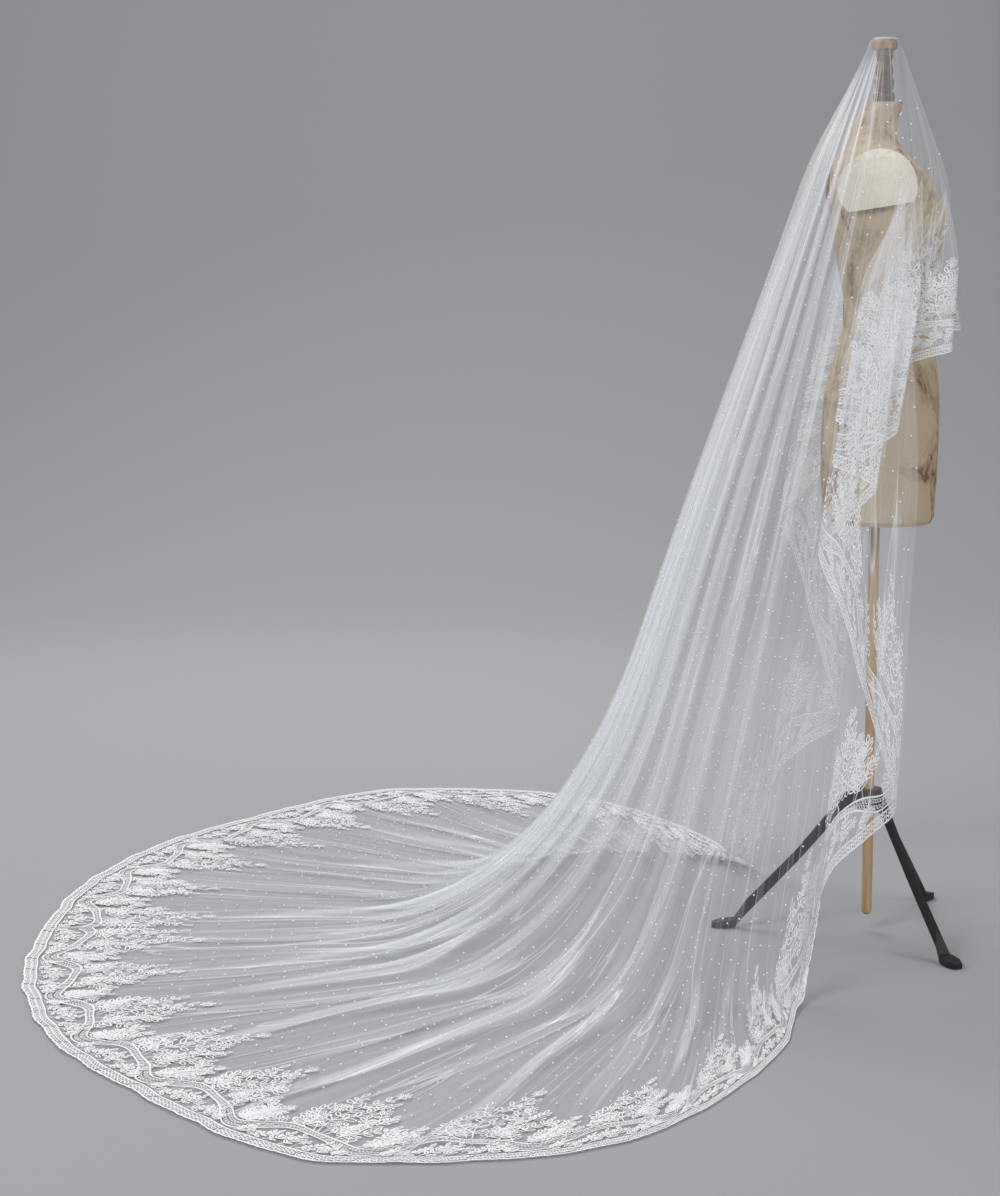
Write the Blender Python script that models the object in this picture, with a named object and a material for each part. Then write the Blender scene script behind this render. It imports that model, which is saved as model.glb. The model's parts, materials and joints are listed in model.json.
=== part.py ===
"""Bridal veil draped over a limbless dress form on a wooden tripod pole.

Metres, +Z up, the floor is Z = 0. +X is the front of the form and -Y is the near side.
The drape is worked out about the pole axis and then set over the footprint's centre.
"""
import bpy
import bmesh
import math
import numpy as np

# Driving sizes
AXIS_X = 0.6920            # the pole axis from the middle of the footprint
SEAM = 0.0003              # gap between neighbouring pieces
SEAM_LACE = 0.0010         # and between rows of pieces, across the folds
SEAM_SLANT = 0.0036        # where the row crosses the cloth at a slant, at the train's corner
SEAM_HUNG = 0.0024         # where the row runs steeply down the hanging folds
MITER_LEAST = 0.80         # limits how far a sharp turn is thickened
TULLE_WALL = 0.0010
LACE_WALL = 0.0015
LACE_WIDTH = 0.190         # depth of the lace border, measured up from the hem
LACE_WIDTH_FRONT = 0.125   # and over the bust
CAP_TOP_Z = 1.6480
RIM_RADIUS = 0.0262        # where the veil turns down over the cap
RIM_Z = 1.6440
SCALLOP_DEPTH = 0.006
EYELET_RADIUS = 0.0034
LACE_EDGE = 0.030          # the eyelet row along the hem
SHOULDER_ROUND = 0.050     # half length of the bend over the shoulder
TURN_ROUND = 0.022         # how full each turn of the cascade is
TIP_LEVEL = 0.75           # how nearly level the hem runs through each turn
FORM_GAP_X = 0.008         # least room between the cloth and the form, front and back
FORM_GAP_Y = 0.016         # and at the sides, over the arm caps

# One row per station round the veil, from the back middle (0) to the front middle (1).
# shoulder, foot (or hanging hem) and train hem points, about the pole axis
STATION_COLUMNS = ("w", "sx", "sy", "sz", "fx", "fy", "fz", "gx", "gy", "rise", "run")
STATIONS = [
    (0.000, -0.122, 0.000, 1.400, -0.590, 0.000, 0.000, -1.553, 0.000, 0.600, 0.400),
    (0.120, -0.116, 0.078, 1.412, -0.570, 0.150, 0.000, -1.515, 0.400, 0.560, 0.380),
    (0.240, -0.096, 0.142, 1.424, -0.505, 0.290, 0.000, -1.310, 0.840, 0.450, 0.330),
    (0.340, -0.072, 0.180, 1.430, -0.425, 0.380, 0.000, -0.900, 1.215, 0.320, 0.280),
    (0.430, -0.048, 0.208, 1.434, -0.345, 0.425, 0.000, -0.480, 1.105, 0.220, 0.220),
    (0.500, -0.028, 0.229, 1.434, -0.265, 0.448, 0.000, -0.240, 0.720, 0.150, 0.150),
    (0.545, -0.014, 0.242, 1.434, -0.188, 0.452, 0.000, -0.180, 0.482, 0.050, 0.015),
    (0.580, -0.004, 0.245, 1.434, -0.120, 0.415, 0.180, -0.120, 0.415, 0.000, 0.000),
    (0.620, 0.000, 0.243, 1.432, -0.065, 0.368, 0.370, -0.065, 0.368, 0.000, 0.000),
    (0.660, 0.003, 0.239, 1.430, -0.060, 0.341, 0.560, -0.060, 0.341, 0.000, 0.000),
    (0.720, 0.008, 0.232, 1.427, -0.070, 0.308, 0.750, -0.070, 0.308, 0.000, 0.000),
    (0.780, 0.015, 0.221, 1.421, -0.060, 0.278, 0.885, -0.060, 0.278, 0.000, 0.000),
    (0.840, 0.028, 0.209, 1.414, -0.040, 0.243, 0.985, -0.040, 0.243, 0.000, 0.000),
    (0.900, 0.056, 0.192, 1.404, 0.020, 0.211, 1.065, 0.020, 0.211, 0.000, 0.000),
    (0.950, 0.100, 0.150, 1.380, 0.090, 0.166, 1.110, 0.090, 0.166, 0.000, 0.000),
    (1.000, 0.126, 0.000, 1.330, 0.153, 0.000, 1.128, 0.153, 0.000, 0.000, 0.000),
]

# One row per gathered fold, from the back middle: share of the half round, crest height, sway
FOLD_COLUMNS = ("share", "height", "sway")
BACK_FOLDS = [
    (0.046, 0.026, 0.075),
    (0.050, 0.030, 0.085),
    (0.054, 0.033, 0.095),
    (0.062, 0.038, 0.112),
    (0.068, 0.041, 0.126),
    (0.074, 0.040, 0.120),
    (0.078, 0.038, 0.110),
    (0.076, 0.030, 0.070),
]

# One row per turn of the cascade at the hem: share of the half round and the place of the tip
TURN_COLUMNS = ("w", "x", "y", "z", "turns")
CASCADE = [
    (0.583, -0.132, 0.414, 0.200, 0.0),
    (0.612, -0.007, 0.374, 0.314, 1.0),
    (0.664, -0.082, 0.330, 0.585, 0.0),
    (0.726, -0.140, 0.304, 0.755, 1.2),
    (0.768, -0.039, 0.286, 0.865, 1.0),
    (0.792, -0.113, 0.270, 0.901, 1.0),
    (0.822, 0.000, 0.256, 0.958, 1.0),
    (0.842, -0.107, 0.241, 0.979, 1.0),
    (0.872, 0.015, 0.227, 1.030, 1.0),
    (0.892, -0.080, 0.212, 1.050, 1.0),
    (0.932, 0.101, 0.195, 1.095, 1.0),
    (0.955, -0.017, 0.184, 1.119, 1.0),
]

# The far side hangs a little differently: fold height and sway as a share of the near side's
FAR_FOLD = 0.90
FAR_SWAY = 0.94

# The dress form: height, front, back, half width, squareness
BODY_COLUMNS = ("z", "front", "back", "half", "power")
BODY = [
    (0.780, 0.098, -0.090, 0.148, 2.3),
    (0.788, 0.103, -0.095, 0.154, 2.3),
    (0.860, 0.107, -0.099, 0.160, 2.3),
    (0.940, 0.109, -0.100, 0.161, 2.3),
    (1.010, 0.109, -0.094, 0.154, 2.3),
    (1.070, 0.103, -0.080, 0.138, 2.2),
    (1.130, 0.091, -0.064, 0.120, 2.1),
    (1.185, 0.087, -0.064, 0.116, 2.1),
    (1.235, 0.093, -0.074, 0.124, 2.2),
    (1.280, 0.109, -0.083, 0.136, 2.3),
    (1.312, 0.116, -0.087, 0.147, 2.4),
    (1.350, 0.106, -0.090, 0.157, 2.4),
    (1.385, 0.088, -0.091, 0.163, 2.4),
    (1.410, 0.072, -0.089, 0.163, 2.3),
    (1.430, 0.052, -0.084, 0.152, 2.2),
    (1.446, 0.038, -0.078, 0.124, 2.1),
    (1.460, 0.030, -0.070, 0.088, 2.0),
    (1.474, 0.025, -0.063, 0.058, 2.0),
    (1.492, 0.024, -0.056, 0.044, 2.0),
    (1.515, 0.030, -0.046, 0.040, 2.0),
    (1.534, 0.035, -0.038, 0.039, 2.0),
]
BODY_SIDES = 40

# Turned neck piece under the cap: height above the neck, radius
FINIAL_COLUMNS = ("z", "radius")
FINIAL = [
    (1.5345, 0.0185),
    (1.5430, 0.0200),
    (1.5500, 0.0190),
    (1.5540, 0.0150),
    (1.5620, 0.0172),
    (1.5740, 0.0178),
    (1.5800, 0.0140),
    (1.5880, 0.0160),
    (1.6000, 0.0140),
    (1.6060, 0.0118),
    (1.6150, 0.0155),
    (1.6265, 0.0155),
]
CAP = [
    (1.6268, 0.0180),
    (1.6290, 0.0228),
    (1.6390, 0.0235),
    (1.6440, 0.0215),
    (1.6480, 0.0150),
]
POLE = [
    (0.0300, 0.0060),
    (0.0340, 0.0088),
    (0.0420, 0.0098),
    (0.7797, 0.0098),
]
HUB_LOW = 0.232
HUB_HIGH = 0.272
HUB_RADIUS = 0.0235
LEG_REACH = 0.265
LEG_TURN = math.radians(-64.0)
LEG_THICK = 0.008
ROUND_SIDES = 24

MATERIALS = {
    "tulle": ((0.80, 0.82, 0.85, 1.0), 0.75, 0.0),
    "lace": ((0.86, 0.87, 0.88, 1.0), 0.80, 0.0),
    "linen": ((0.62, 0.52, 0.40, 1.0), 0.85, 0.0),
    "armcloth": ((0.80, 0.77, 0.68, 1.0), 0.85, 0.0),
    "capwood": ((0.62, 0.44, 0.30, 1.0), 0.60, 0.0),
    "neckwood": ((0.20, 0.15, 0.12, 1.0), 0.55, 0.0),
    "polewood": ((0.70, 0.56, 0.40, 1.0), 0.55, 0.0),
    "legmetal": ((0.06, 0.06, 0.07, 1.0), 0.45, 0.4),
}


def make_material(name):
    """One plain Principled material."""
    colour, rough, metal = MATERIALS[name]
    mat = bpy.data.materials.new(name)
    mat.use_nodes = True
    node = mat.node_tree.nodes["Principled BSDF"]
    node.inputs["Base Color"].default_value = colour
    node.inputs["Roughness"].default_value = rough
    node.inputs["Metallic"].default_value = metal
    mat.diffuse_color = colour
    return mat


def spline(xs, ys, x):
    """Smooth curve through rows, with slopes from the neighbouring rows."""
    xs = np.asarray(xs, float)
    ys = np.asarray(ys, float)
    x = np.asarray(x, float)
    slope = np.gradient(ys, xs, axis=0)
    rate = np.diff(ys, axis=0) / np.diff(xs).reshape((-1,) + (1,) * (ys.ndim - 1))
    least = 3.0 * np.minimum(np.abs(rate[:-1]), np.abs(rate[1:]))
    slope[1:-1] = np.where(rate[:-1] * rate[1:] > 0.0, np.clip(slope[1:-1], -least, least), 0.0)
    k = np.clip(np.searchsorted(xs, x, side="right") - 1, 0, len(xs) - 2)
    h = (xs[k + 1] - xs[k])[..., None]
    t = ((x - xs[k])[..., None]) / h
    a = 2 * t ** 3 - 3 * t ** 2 + 1
    b = t ** 3 - 2 * t ** 2 + t
    c = -2 * t ** 3 + 3 * t ** 2
    d = t ** 3 - t ** 2
    return a * ys[k] + b * h * slope[k] + c * ys[k + 1] + d * h * slope[k + 1]


def smooth(x, low, high):
    """Soft step from 0 to 1."""
    t = np.clip((x - low) / (high - low), 0, 1)
    return t * t * (3 - 2 * t)


def mirrored_stations():
    """Station rows carried past both middles so that the rings cross them squarely."""
    rows = np.array(STATIONS)
    flip = np.ones(rows.shape[1])
    flip[[2, 5, 8]] = -1.0
    before = rows[1:3][::-1] * flip
    before[:, 0] = -rows[1:3][::-1][:, 0]
    after = rows[-3:-1][::-1] * flip
    after[:, 0] = 2.0 - rows[-3:-1][::-1][:, 0]
    return np.vstack([before, rows, after])


STATION_ROWS = mirrored_stations()


def controls(w):
    """Cap rim, shoulder, foot and train hem points, with the foot bend's two lengths."""
    row = spline(STATION_ROWS[:, 0], STATION_ROWS[:, 1:], w)
    turn = np.pi * np.asarray(w)
    rim = np.stack([-RIM_RADIUS * np.cos(turn), RIM_RADIUS * np.sin(turn), np.full_like(turn, RIM_Z)], -1)
    shoulder = row[..., 0:3]
    foot = row[..., 3:6].copy()
    foot[..., 2] = np.maximum(foot[..., 2], 0.0)
    hem = foot.copy()
    on_floor = 1.0 - smooth(np.asarray(w), STATIONS[6][0], STATIONS[7][0])
    hem[..., 0] += (row[..., 6] - foot[..., 0]) * on_floor
    hem[..., 1] += (row[..., 7] - foot[..., 1]) * on_floor
    return rim, shoulder, foot, hem, np.maximum(row[..., 8], 0.0), np.maximum(row[..., 9], 0.0)


def legs(w):
    """Lengths of the three straight legs of a ray."""
    rim, shoulder, foot, hem, rise, run = controls(w)
    one = np.linalg.norm(shoulder - rim, axis=-1)
    two = np.linalg.norm(foot - shoulder, axis=-1)
    three = np.linalg.norm(hem - foot, axis=-1)
    return one, two, three


def base_point(w, d):
    """Point of the smooth drape, without folds, at a length d down the ray w."""
    rim, shoulder, foot, hem, rise, run = controls(w)
    one = np.linalg.norm(shoulder - rim, axis=-1)
    two = np.linalg.norm(foot - shoulder, axis=-1)
    three = np.linalg.norm(hem - foot, axis=-1)
    dir_one = (shoulder - rim) / one[..., None]
    dir_two = (foot - shoulder) / two[..., None]
    dir_three = (hem - foot) / np.maximum(three, 1e-6)[..., None]
    bend = np.minimum(SHOULDER_ROUND, 0.45 * one)
    rise = np.minimum(rise, 0.6 * two)
    run = np.minimum(run, 0.95 * three)
    out = rim + dir_one * d[..., None]
    past = d > one
    out = np.where(past[..., None], shoulder + dir_two * (d - one)[..., None], out)
    floor = (d > one + two) & (three > 1e-5)
    out = np.where(floor[..., None], foot + dir_three * (d - one - two)[..., None], out)
    # the bend over the shoulder
    q = np.clip((d - (one - bend)) / (2 * bend), 0, 1)[..., None]
    first = shoulder - dir_one * bend[..., None]
    last = shoulder + dir_two * bend[..., None]
    arc = (1 - q) ** 2 * first + 2 * q * (1 - q) * shoulder + q ** 2 * last
    near = np.abs(d - one) < bend
    out = np.where(near[..., None], arc, out)
    # the bend on to the floor
    span = np.maximum(rise + run, 1e-6)
    q = np.clip((d - (one + two - rise)) / span, 0, 1)[..., None]
    first = foot - dir_two * rise[..., None]
    last = foot + dir_three * run[..., None]
    arc = (1 - q) ** 2 * first + 2 * q * (1 - q) * foot + q ** 2 * last
    near = (d > one + two - rise) & (d < one + two + run) & (three > 1e-5)
    return np.where(near[..., None], arc, out)


def ring_ways(w):
    """Level directions along the shoulder ring and outward from it."""
    w = np.asarray(w, float)
    step = 0.01
    ahead = spline(STATION_ROWS[:, 0], STATION_ROWS[:, 1:3], w + step)
    behind = spline(STATION_ROWS[:, 0], STATION_ROWS[:, 1:3], w - step)
    way = ahead - behind
    way /= np.maximum(np.linalg.norm(way, axis=-1), 1e-9)[..., None]
    zero = np.zeros(way.shape[:-1])
    along = np.stack([way[..., 0], way[..., 1], zero], -1)
    outward = np.stack([-way[..., 1], way[..., 0], zero], -1)
    return along, outward


FIRST_TURN = 2 * len(BACK_FOLDS) + 1


def fold_rows(side):
    """Rows of w, sway, height and drop at each half fold, with their slopes."""
    height = FAR_FOLD if side > 0 else 1.0
    sway = FAR_SWAY if side > 0 else 1.0
    rows = []
    slopes = []
    w = 0.0
    last = len(BACK_FOLDS) - 1
    for i, (share, crest, lean) in enumerate(BACK_FOLDS):
        same = 1.0 if i in (0,) else height
        rows.append((w, 0.0, crest * same, 0.0))
        slopes.append((0.0, lean * (1.0 if i == 0 else sway), 0.0, 0.0))
        rows.append((w + share * 0.5, 0.0, 0.0, 0.0))
        slopes.append((0.0, lean * sway * (0.35 if i == last else 1.0), 0.0, 0.0))
        w += share
    rows.append((0.538, 0.0, 0.012, 0.0))
    slopes.append((0.0, 0.0, 0.0, 0.0))
    for number, (w, x, y, z, turns) in enumerate(CASCADE):
        tip = np.array([x, y, z])
        base = controls(np.array(w))[2]
        off = tip - base
        along, outward = ring_ways(w)
        swing = 0.94 if side > 0 and number % 2 else 1.0
        rows.append((w, float(off @ along) * swing, float(off @ outward), float(off[2])))
        inward = -np.array([1.2 * x, y, 0.0]) / math.hypot(1.2 * x, y)
        inward *= TURN_ROUND * turns
        slopes.append((0.0, float(inward @ along), float(inward @ outward), 0.0))
    rows.append((1.0, 0.0, 0.0, 0.0))
    slopes.append((0.0, 0.0, 0.0, 0.0))
    rows = np.array(rows)
    slopes = np.array(slopes)
    for number, row in enumerate(CASCADE):
        if row[4] == 0.0:
            k = FIRST_TURN + number
            slopes[k] = (rows[k + 1] - rows[k - 1]) * 0.35
    slopes[:, 0] = np.gradient(rows[:, 0])
    slopes[0, 0] = rows[1, 0]
    slopes[-1, 0] = rows[-1, 0] - rows[-2, 0]
    for number, row in enumerate(CASCADE):
        if row[4] > 0.0:
            k = FIRST_TURN + number
            ahead = controls(np.array(rows[k, 0] + 0.004))[2][2]
            behind = controls(np.array(rows[k, 0] - 0.004))[2][2]
            slopes[k, 3] = -TIP_LEVEL * (ahead - behind) / 0.008 * slopes[k, 0]
    return rows, slopes


def clear_of_form(point):
    """Keep the cloth outside the form, in the order in which its layers lie."""
    rows = np.array(BODY)
    z = point[..., 2]
    front, back, half, power = [np.interp(z, rows[:, 0], rows[:, k]) for k in (1, 2, 3, 4)]
    middle = (front + back) * 0.5
    reach = (front - back) * 0.5 + FORM_GAP_X
    half = half + FORM_GAP_Y
    x = point[..., 0] - middle
    y = point[..., 1]
    rho = (np.abs(x / reach) ** power + np.abs(y / half) ** power) ** (1.0 / power)
    soft = 0.02
    pushed = 1.0 + soft * np.logaddexp(0.0, (rho - 1.0) / soft)
    low = smooth(z, rows[0, 0] - 0.06, rows[0, 0])
    high = 1.0 - smooth(z, rows[-1, 0], rows[-1, 0] + 0.03)
    scale = 1.0 + (pushed / np.maximum(rho, 1e-6) - 1.0) * low * high
    out = point.copy()
    out[..., 0] = middle + x * scale
    out[..., 1] = y * scale
    return out


FOLDS = {-1: fold_rows(-1), 1: fold_rows(1)}
HALF_FOLDS = len(FOLDS[-1][0]) - 1


def fold(u, side):
    """w, sway, height and drop at a place u counted in half folds."""
    rows, slopes = FOLDS[side]
    k = np.clip(np.floor(u).astype(int), 0, HALF_FOLDS - 1)
    t = (u - k)[..., None]
    a = 2 * t ** 3 - 3 * t ** 2 + 1
    b = t ** 3 - 2 * t ** 2 + t
    c = -2 * t ** 3 + 3 * t ** 2
    d = t ** 3 - t ** 2
    out = a * rows[k] + b * slopes[k] + c * rows[k + 1] + d * slopes[k + 1]
    return out[..., 0], out[..., 1], out[..., 2], out[..., 3]


def ray_length(u, side):
    """Length of cloth from the rim to the hem at u."""
    w = fold(np.asarray(u, float), side)[0]
    one, two, three = legs(w)
    return one + two + three


def foot_length(u, side):
    """Length of cloth from the rim to the floor, or to a hanging hem."""
    w = fold(np.asarray(u, float), side)[0]
    one, two, three = legs(w)
    return one + two


def veil(u, d, side):
    """The middle of the cloth: u counts half folds from the back, d is metres from the rim."""
    u = np.asarray(u, float)
    d = np.asarray(d, float)
    w, sway, high, drop = fold(u, side)
    point = base_point(w, d)
    step = 0.004
    ahead = base_point(w, d + step)
    behind = base_point(w, np.maximum(d - step, 0.0))
    down = ahead - behind
    down /= np.maximum(np.linalg.norm(down, axis=-1), 1e-9)[..., None]
    along, outward = ring_ways(w)
    normal = np.cross(along, down)
    normal /= np.maximum(np.linalg.norm(normal, axis=-1), 1e-9)[..., None]
    hanging = smooth(u, FIRST_TURN - 1.0, FIRST_TURN)[..., None]
    normal = normal * (1 - hanging) + outward * hanging
    normal /= np.maximum(np.linalg.norm(normal, axis=-1), 1e-9)[..., None]
    one, two, three = legs(w)
    total = one + two + three
    gather = 0.40 * smooth(d, 0.015, one) + 0.60 * smooth(d, 0.6 * one, one + 0.85 * np.minimum(two, 1.0))
    swing = smooth(d, 0.92 * one, one + 0.55 * two)
    hung = smooth(u, FIRST_TURN - 1.0, FIRST_TURN)
    grow = gather * (1.0 - hung) + swing * hung
    past = (d - one - two) / np.maximum(three, 0.25)
    fade = 1.0 - 0.88 * smooth(past, 0.0, 0.80)
    late = smooth(d, 0.5 * one, one + 0.60 * two) * (1.0 - smooth(d - one - two, -0.18, 0.18))
    late = late * (1.0 - hung) + grow * hung
    push = along * (sway * late)[..., None] + normal * (high * grow * fade)[..., None]
    out = point + push
    out[..., 2] += grow * drop
    out = clear_of_form(out)
    out[..., 2] = np.maximum(out[..., 2], TULLE_WALL * 0.5)
    if side < 0:
        out[..., 1] *= -1.0
    out[..., 0] += AXIS_X
    return out


def add_object(name, verts, faces, material, smooth_shade=True):
    """One named solid from points and faces."""
    mesh = bpy.data.meshes.new(name)
    mesh.from_pydata([tuple(float(c) for c in v) for v in verts], [], faces)
    mesh.update()
    bm = bmesh.new()
    bm.from_mesh(mesh)
    bmesh.ops.recalc_face_normals(bm, faces=bm.faces)
    bm.to_mesh(mesh)
    bm.free()
    obj = bpy.data.objects.new(name, mesh)
    bpy.context.scene.collection.objects.link(obj)
    mesh.materials.append(MATS[material])
    for poly in mesh.polygons:
        poly.use_smooth = smooth_shade
    return obj


def wall_from_grid(name, mid, normal, thick, material, holes=None):
    """A closed cloth wall from a grid of mid points; holes lists cells with an eyelet."""
    rows, cols = mid.shape[:2]
    outer = mid + normal * (thick * 0.5)
    inner = mid - normal * (thick * 0.5)
    low = mid[..., 2] < thick * 0.9
    for skin in (outer, inner):
        skin[..., 2] = np.where(skin[..., 2] < 0.0002, 0.0, skin[..., 2])
    lift = np.where(low, thick - np.abs(outer[..., 2] - inner[..., 2]), 0.0)
    outer[..., 2] += np.where(low & (outer[..., 2] >= inner[..., 2]), np.maximum(lift, 0.0), 0.0)
    count = rows * cols
    verts = list(outer.reshape(-1, 3)) + list(inner.reshape(-1, 3))
    faces = []
    hole_cells = holes or {}
    for r in range(rows - 1):
        for c in range(cols - 1):
            a = r * cols + c
            b = a + 1
            e = a + cols + 1
            f = a + cols
            if (r, c) in hole_cells:
                size = hole_cells[(r, c)]
                loops = []
                for skin, shift in ((outer, 0), (inner, count)):
                    corner = [skin[r, c], skin[r, c + 1], skin[r + 1, c + 1], skin[r + 1, c]]
                    centre = sum(corner) / 4.0
                    ring = []
                    for k in range(4):
                        way = corner[k] - centre
                        way = way / np.linalg.norm(way)
                        ring.append(len(verts))
                        verts.append(centre + way * size)
                    loops.append(ring)
                for ring, shift, flip in ((loops[0], 0, False), (loops[1], count, True)):
                    corners = [a + shift, b + shift, e + shift, f + shift]
                    for k in range(4):
                        n = (k + 1) % 4
                        quad = (corners[k], corners[n], ring[n], ring[k])
                        faces.append(quad[::-1] if flip else quad)
                for k in range(4):
                    n = (k + 1) % 4
                    faces.append((loops[0][k], loops[0][n], loops[1][n], loops[1][k]))
                continue
            if np.linalg.norm(mid[r, c] - mid[r + 1, c + 1]) < np.linalg.norm(mid[r, c + 1] - mid[r + 1, c]):
                halves = ((a, b, e), (a, e, f))
            else:
                halves = ((a, b, f), (b, e, f))
            for half in halves:
                faces.append(half)
                faces.append(tuple(k + count for k in reversed(half)))
    for c in range(cols - 1):
        faces.append((c, c + count, c + 1 + count, c + 1))
        a = (rows - 1) * cols + c
        faces.append((a, a + 1, a + 1 + count, a + count))
    for r in range(rows - 1):
        a = r * cols
        faces.append((a, a + cols, a + cols + count, a + count))
        a = r * cols + cols - 1
        faces.append((a, a + count, a + cols + count, a + cols))
    return add_object(name, verts, faces, material)


def squeeze_sides(mid, gap=SEAM * 0.5):
    """Draw the two side edges of a grid in by half a seam."""
    for edge, inner in ((0, 1), (-1, -2)):
        way = mid[:, inner] - mid[:, edge]
        length = np.maximum(np.linalg.norm(way, axis=-1), 1e-9)[..., None]
        mid[:, edge] += way / length * gap
    return mid


def columns(ranges, per_half):
    """Sides and places of the columns of one piece, with one more beyond each end."""
    sides = []
    places = []
    step = 1.0 / per_half
    for number, (side, first, last) in enumerate(ranges):
        count = max(1, int(round(abs(last - first) * per_half)))
        us = np.linspace(first, last, count + 1)
        if number:
            us = us[1:]
        sides += [side] * len(us)
        places += list(us)
    start = places[0] - step if ranges[0][2] > ranges[0][1] else places[0] + step
    end = places[-1] + step if ranges[-1][2] > ranges[-1][1] else places[-1] - step
    sides = [sides[0]] + sides + [sides[-1]]
    places = [start] + places + [end]
    for k, u in enumerate(places):
        if u < 0.0 or u > HALF_FOLDS:
            places[k] = -u if u < 0.0 else 2.0 * HALF_FOLDS - u
            sides[k] = -sides[k]
    return np.array(sides), np.array(places)


def drape_grid(sides, places, rows):
    """Mid points and outward directions of a grid; rows gives the lengths on each ray."""
    mid = None
    for side in (-1, 1):
        chosen = np.where(sides == side)[0]
        if not len(chosen):
            continue
        us = places[chosen]
        d = rows(us, side, chosen)
        if mid is None:
            mid = np.zeros((d.shape[0], len(places), 3))
        u = np.broadcast_to(us[None, :], d.shape)
        mid[:, chosen] = veil(u, d, side)
    down = np.gradient(mid, axis=0)
    down /= np.maximum(np.linalg.norm(down, axis=-1), 1e-12)[..., None]
    across = np.diff(mid, axis=1)
    across /= np.maximum(np.linalg.norm(across, axis=-1), 1e-12)[..., None]
    first = np.cross(across[:, :-1], down[:, 1:-1])
    second = np.cross(across[:, 1:], down[:, 1:-1])
    first /= np.maximum(np.linalg.norm(first, axis=-1), 1e-12)[..., None]
    second /= np.maximum(np.linalg.norm(second, axis=-1), 1e-12)[..., None]
    normal = first + second
    size = np.maximum(np.linalg.norm(normal, axis=-1), 1e-12)[..., None]
    miter = 1.0 / np.maximum(size * 0.5, MITER_LEAST)
    return mid[:, 1:-1], normal / size * miter


def lace_start(us, side):
    """Where the lace border begins on each ray."""
    w = fold(np.asarray(us, float), side)[0]
    width = LACE_WIDTH + (LACE_WIDTH_FRONT - LACE_WIDTH) * smooth(w, 0.80, 0.94)
    return ray_length(us, side) - width


def shoulder_length(us, side):
    """Length of cloth from the rim to the shoulder."""
    w = fold(np.asarray(us, float), side)[0]
    return legs(w)[0]


def tent_rows(us, side, chosen=None):
    """Row lengths from the cap down to the floor, or to the lace where that comes first."""
    one = shoulder_length(us, side)
    gore = np.where(np.abs(us - FLOOR_LIMIT) < 0.01, GORE_END, 0.0)
    end = np.minimum(lace_start(us, side) - SEAM_HUNG - gore, foot_length(us, side))
    knee = one + SHOULDER_ROUND
    rows = [np.full(len(us), RIM_START), one - SHOULDER_ROUND, one, (one + knee) * 0.5, knee]
    rows += [knee + (end - knee) * share for share in BELOW_SHOULDER]
    return np.stack(rows)


def floor_rows(us, side, chosen=None):
    """Row lengths of the train, from the foot of the drape to the lace."""
    start = np.minimum(foot_length(us, side) + SEAM_LACE, lace_start(us, side) - GORE_END)
    end = lace_start(us, side) - np.where(us > FLOOR_LIMIT - 1.0, SEAM_SLANT, SEAM_LACE)
    return np.stack([start + (end - start) * share for share in (0.0, 0.30, 0.64, 1.0)])


RIM_START = 0.0
FLAT_LACE = (0.0, 1.0)
HUNG_LACE = (0.0, 0.5, 1.0)
LANDING_LACE = (0.0, 0.5, 1.0)
BELOW_SHOULDER = (0.28, 0.58, 0.82, 1.0)
FLOOR_LIMIT = 2.0 * len(BACK_FOLDS) - 1.0 / 3.0   # the train's front corner
GORE_END = 0.010                                  # and how wide the train ends there


def tulle_piece(name, ranges, per_half, rows):
    """A tulle stretch over one or more runs of u, given as (side, first, last)."""
    sides, places = columns(ranges, per_half)
    mid, normal = drape_grid(sides, places, rows)
    mid = squeeze_sides(mid)
    return wall_from_grid(name, mid, normal, TULLE_WALL, "tulle")


def lace_piece(name, ranges, per_half, period, shares):
    """A lace border stretch with a scalloped outer edge and one eyelet in each scallop.

    period columns make one scallop; ranges holds (side, first half fold, last half fold)."""
    sides, places = columns(ranges, per_half)
    count = len(places) - 2
    phase = np.arange(-1, count + 1) % period

    def rows(us, side, chosen):
        total = ray_length(us, side)
        start = lace_start(us, side)
        edge = total - LACE_EDGE
        dip = np.where(phase[chosen] == 0, SCALLOP_DEPTH, 0.0)
        return np.stack([start + (edge - start) * share for share in shares] + [total - dip])

    mid, normal = drape_grid(sides, places, rows)
    holes = {(len(shares) - 1, c): EYELET_RADIUS for c in range(period - 2, count - 1, period)}
    mid = squeeze_sides(mid)
    return wall_from_grid(name, mid, normal, LACE_WALL, "lace", holes)


def crown_piece():
    """The flat round of tulle that lies over the cap."""
    rings = [0.0, 0.013, 0.0205, RIM_RADIUS]
    heights = [CAP_TOP_Z + 0.0009, CAP_TOP_Z + 0.0009, CAP_TOP_Z + 0.0004, RIM_Z + 0.0012]
    sides = 32
    verts = []
    faces = []
    for lift in (TULLE_WALL, 0.0):
        verts.append((AXIS_X, 0.0, heights[0] + lift - 0.0006))
        for radius, height in zip(rings[1:], heights[1:]):
            for k in range(sides):
                angle = 2 * math.pi * k / sides
                verts.append((AXIS_X + radius * math.cos(angle), radius * math.sin(angle), height + lift - 0.0006))
    block = 1 + 3 * sides
    for skin in (0, block):
        for k in range(sides):
            n = (k + 1) % sides
            faces.append((skin, skin + 1 + k, skin + 1 + n))
            for ring in range(2):
                a = skin + 1 + ring * sides
                faces.append((a + k, a + sides + k, a + sides + n, a + n))
    for k in range(sides):
        n = (k + 1) % sides
        a = 1 + 2 * sides
        faces.append((a + k, a + block + k, a + block + n, a + n))
    return add_object("veil_crown", verts, faces, "tulle")


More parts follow.
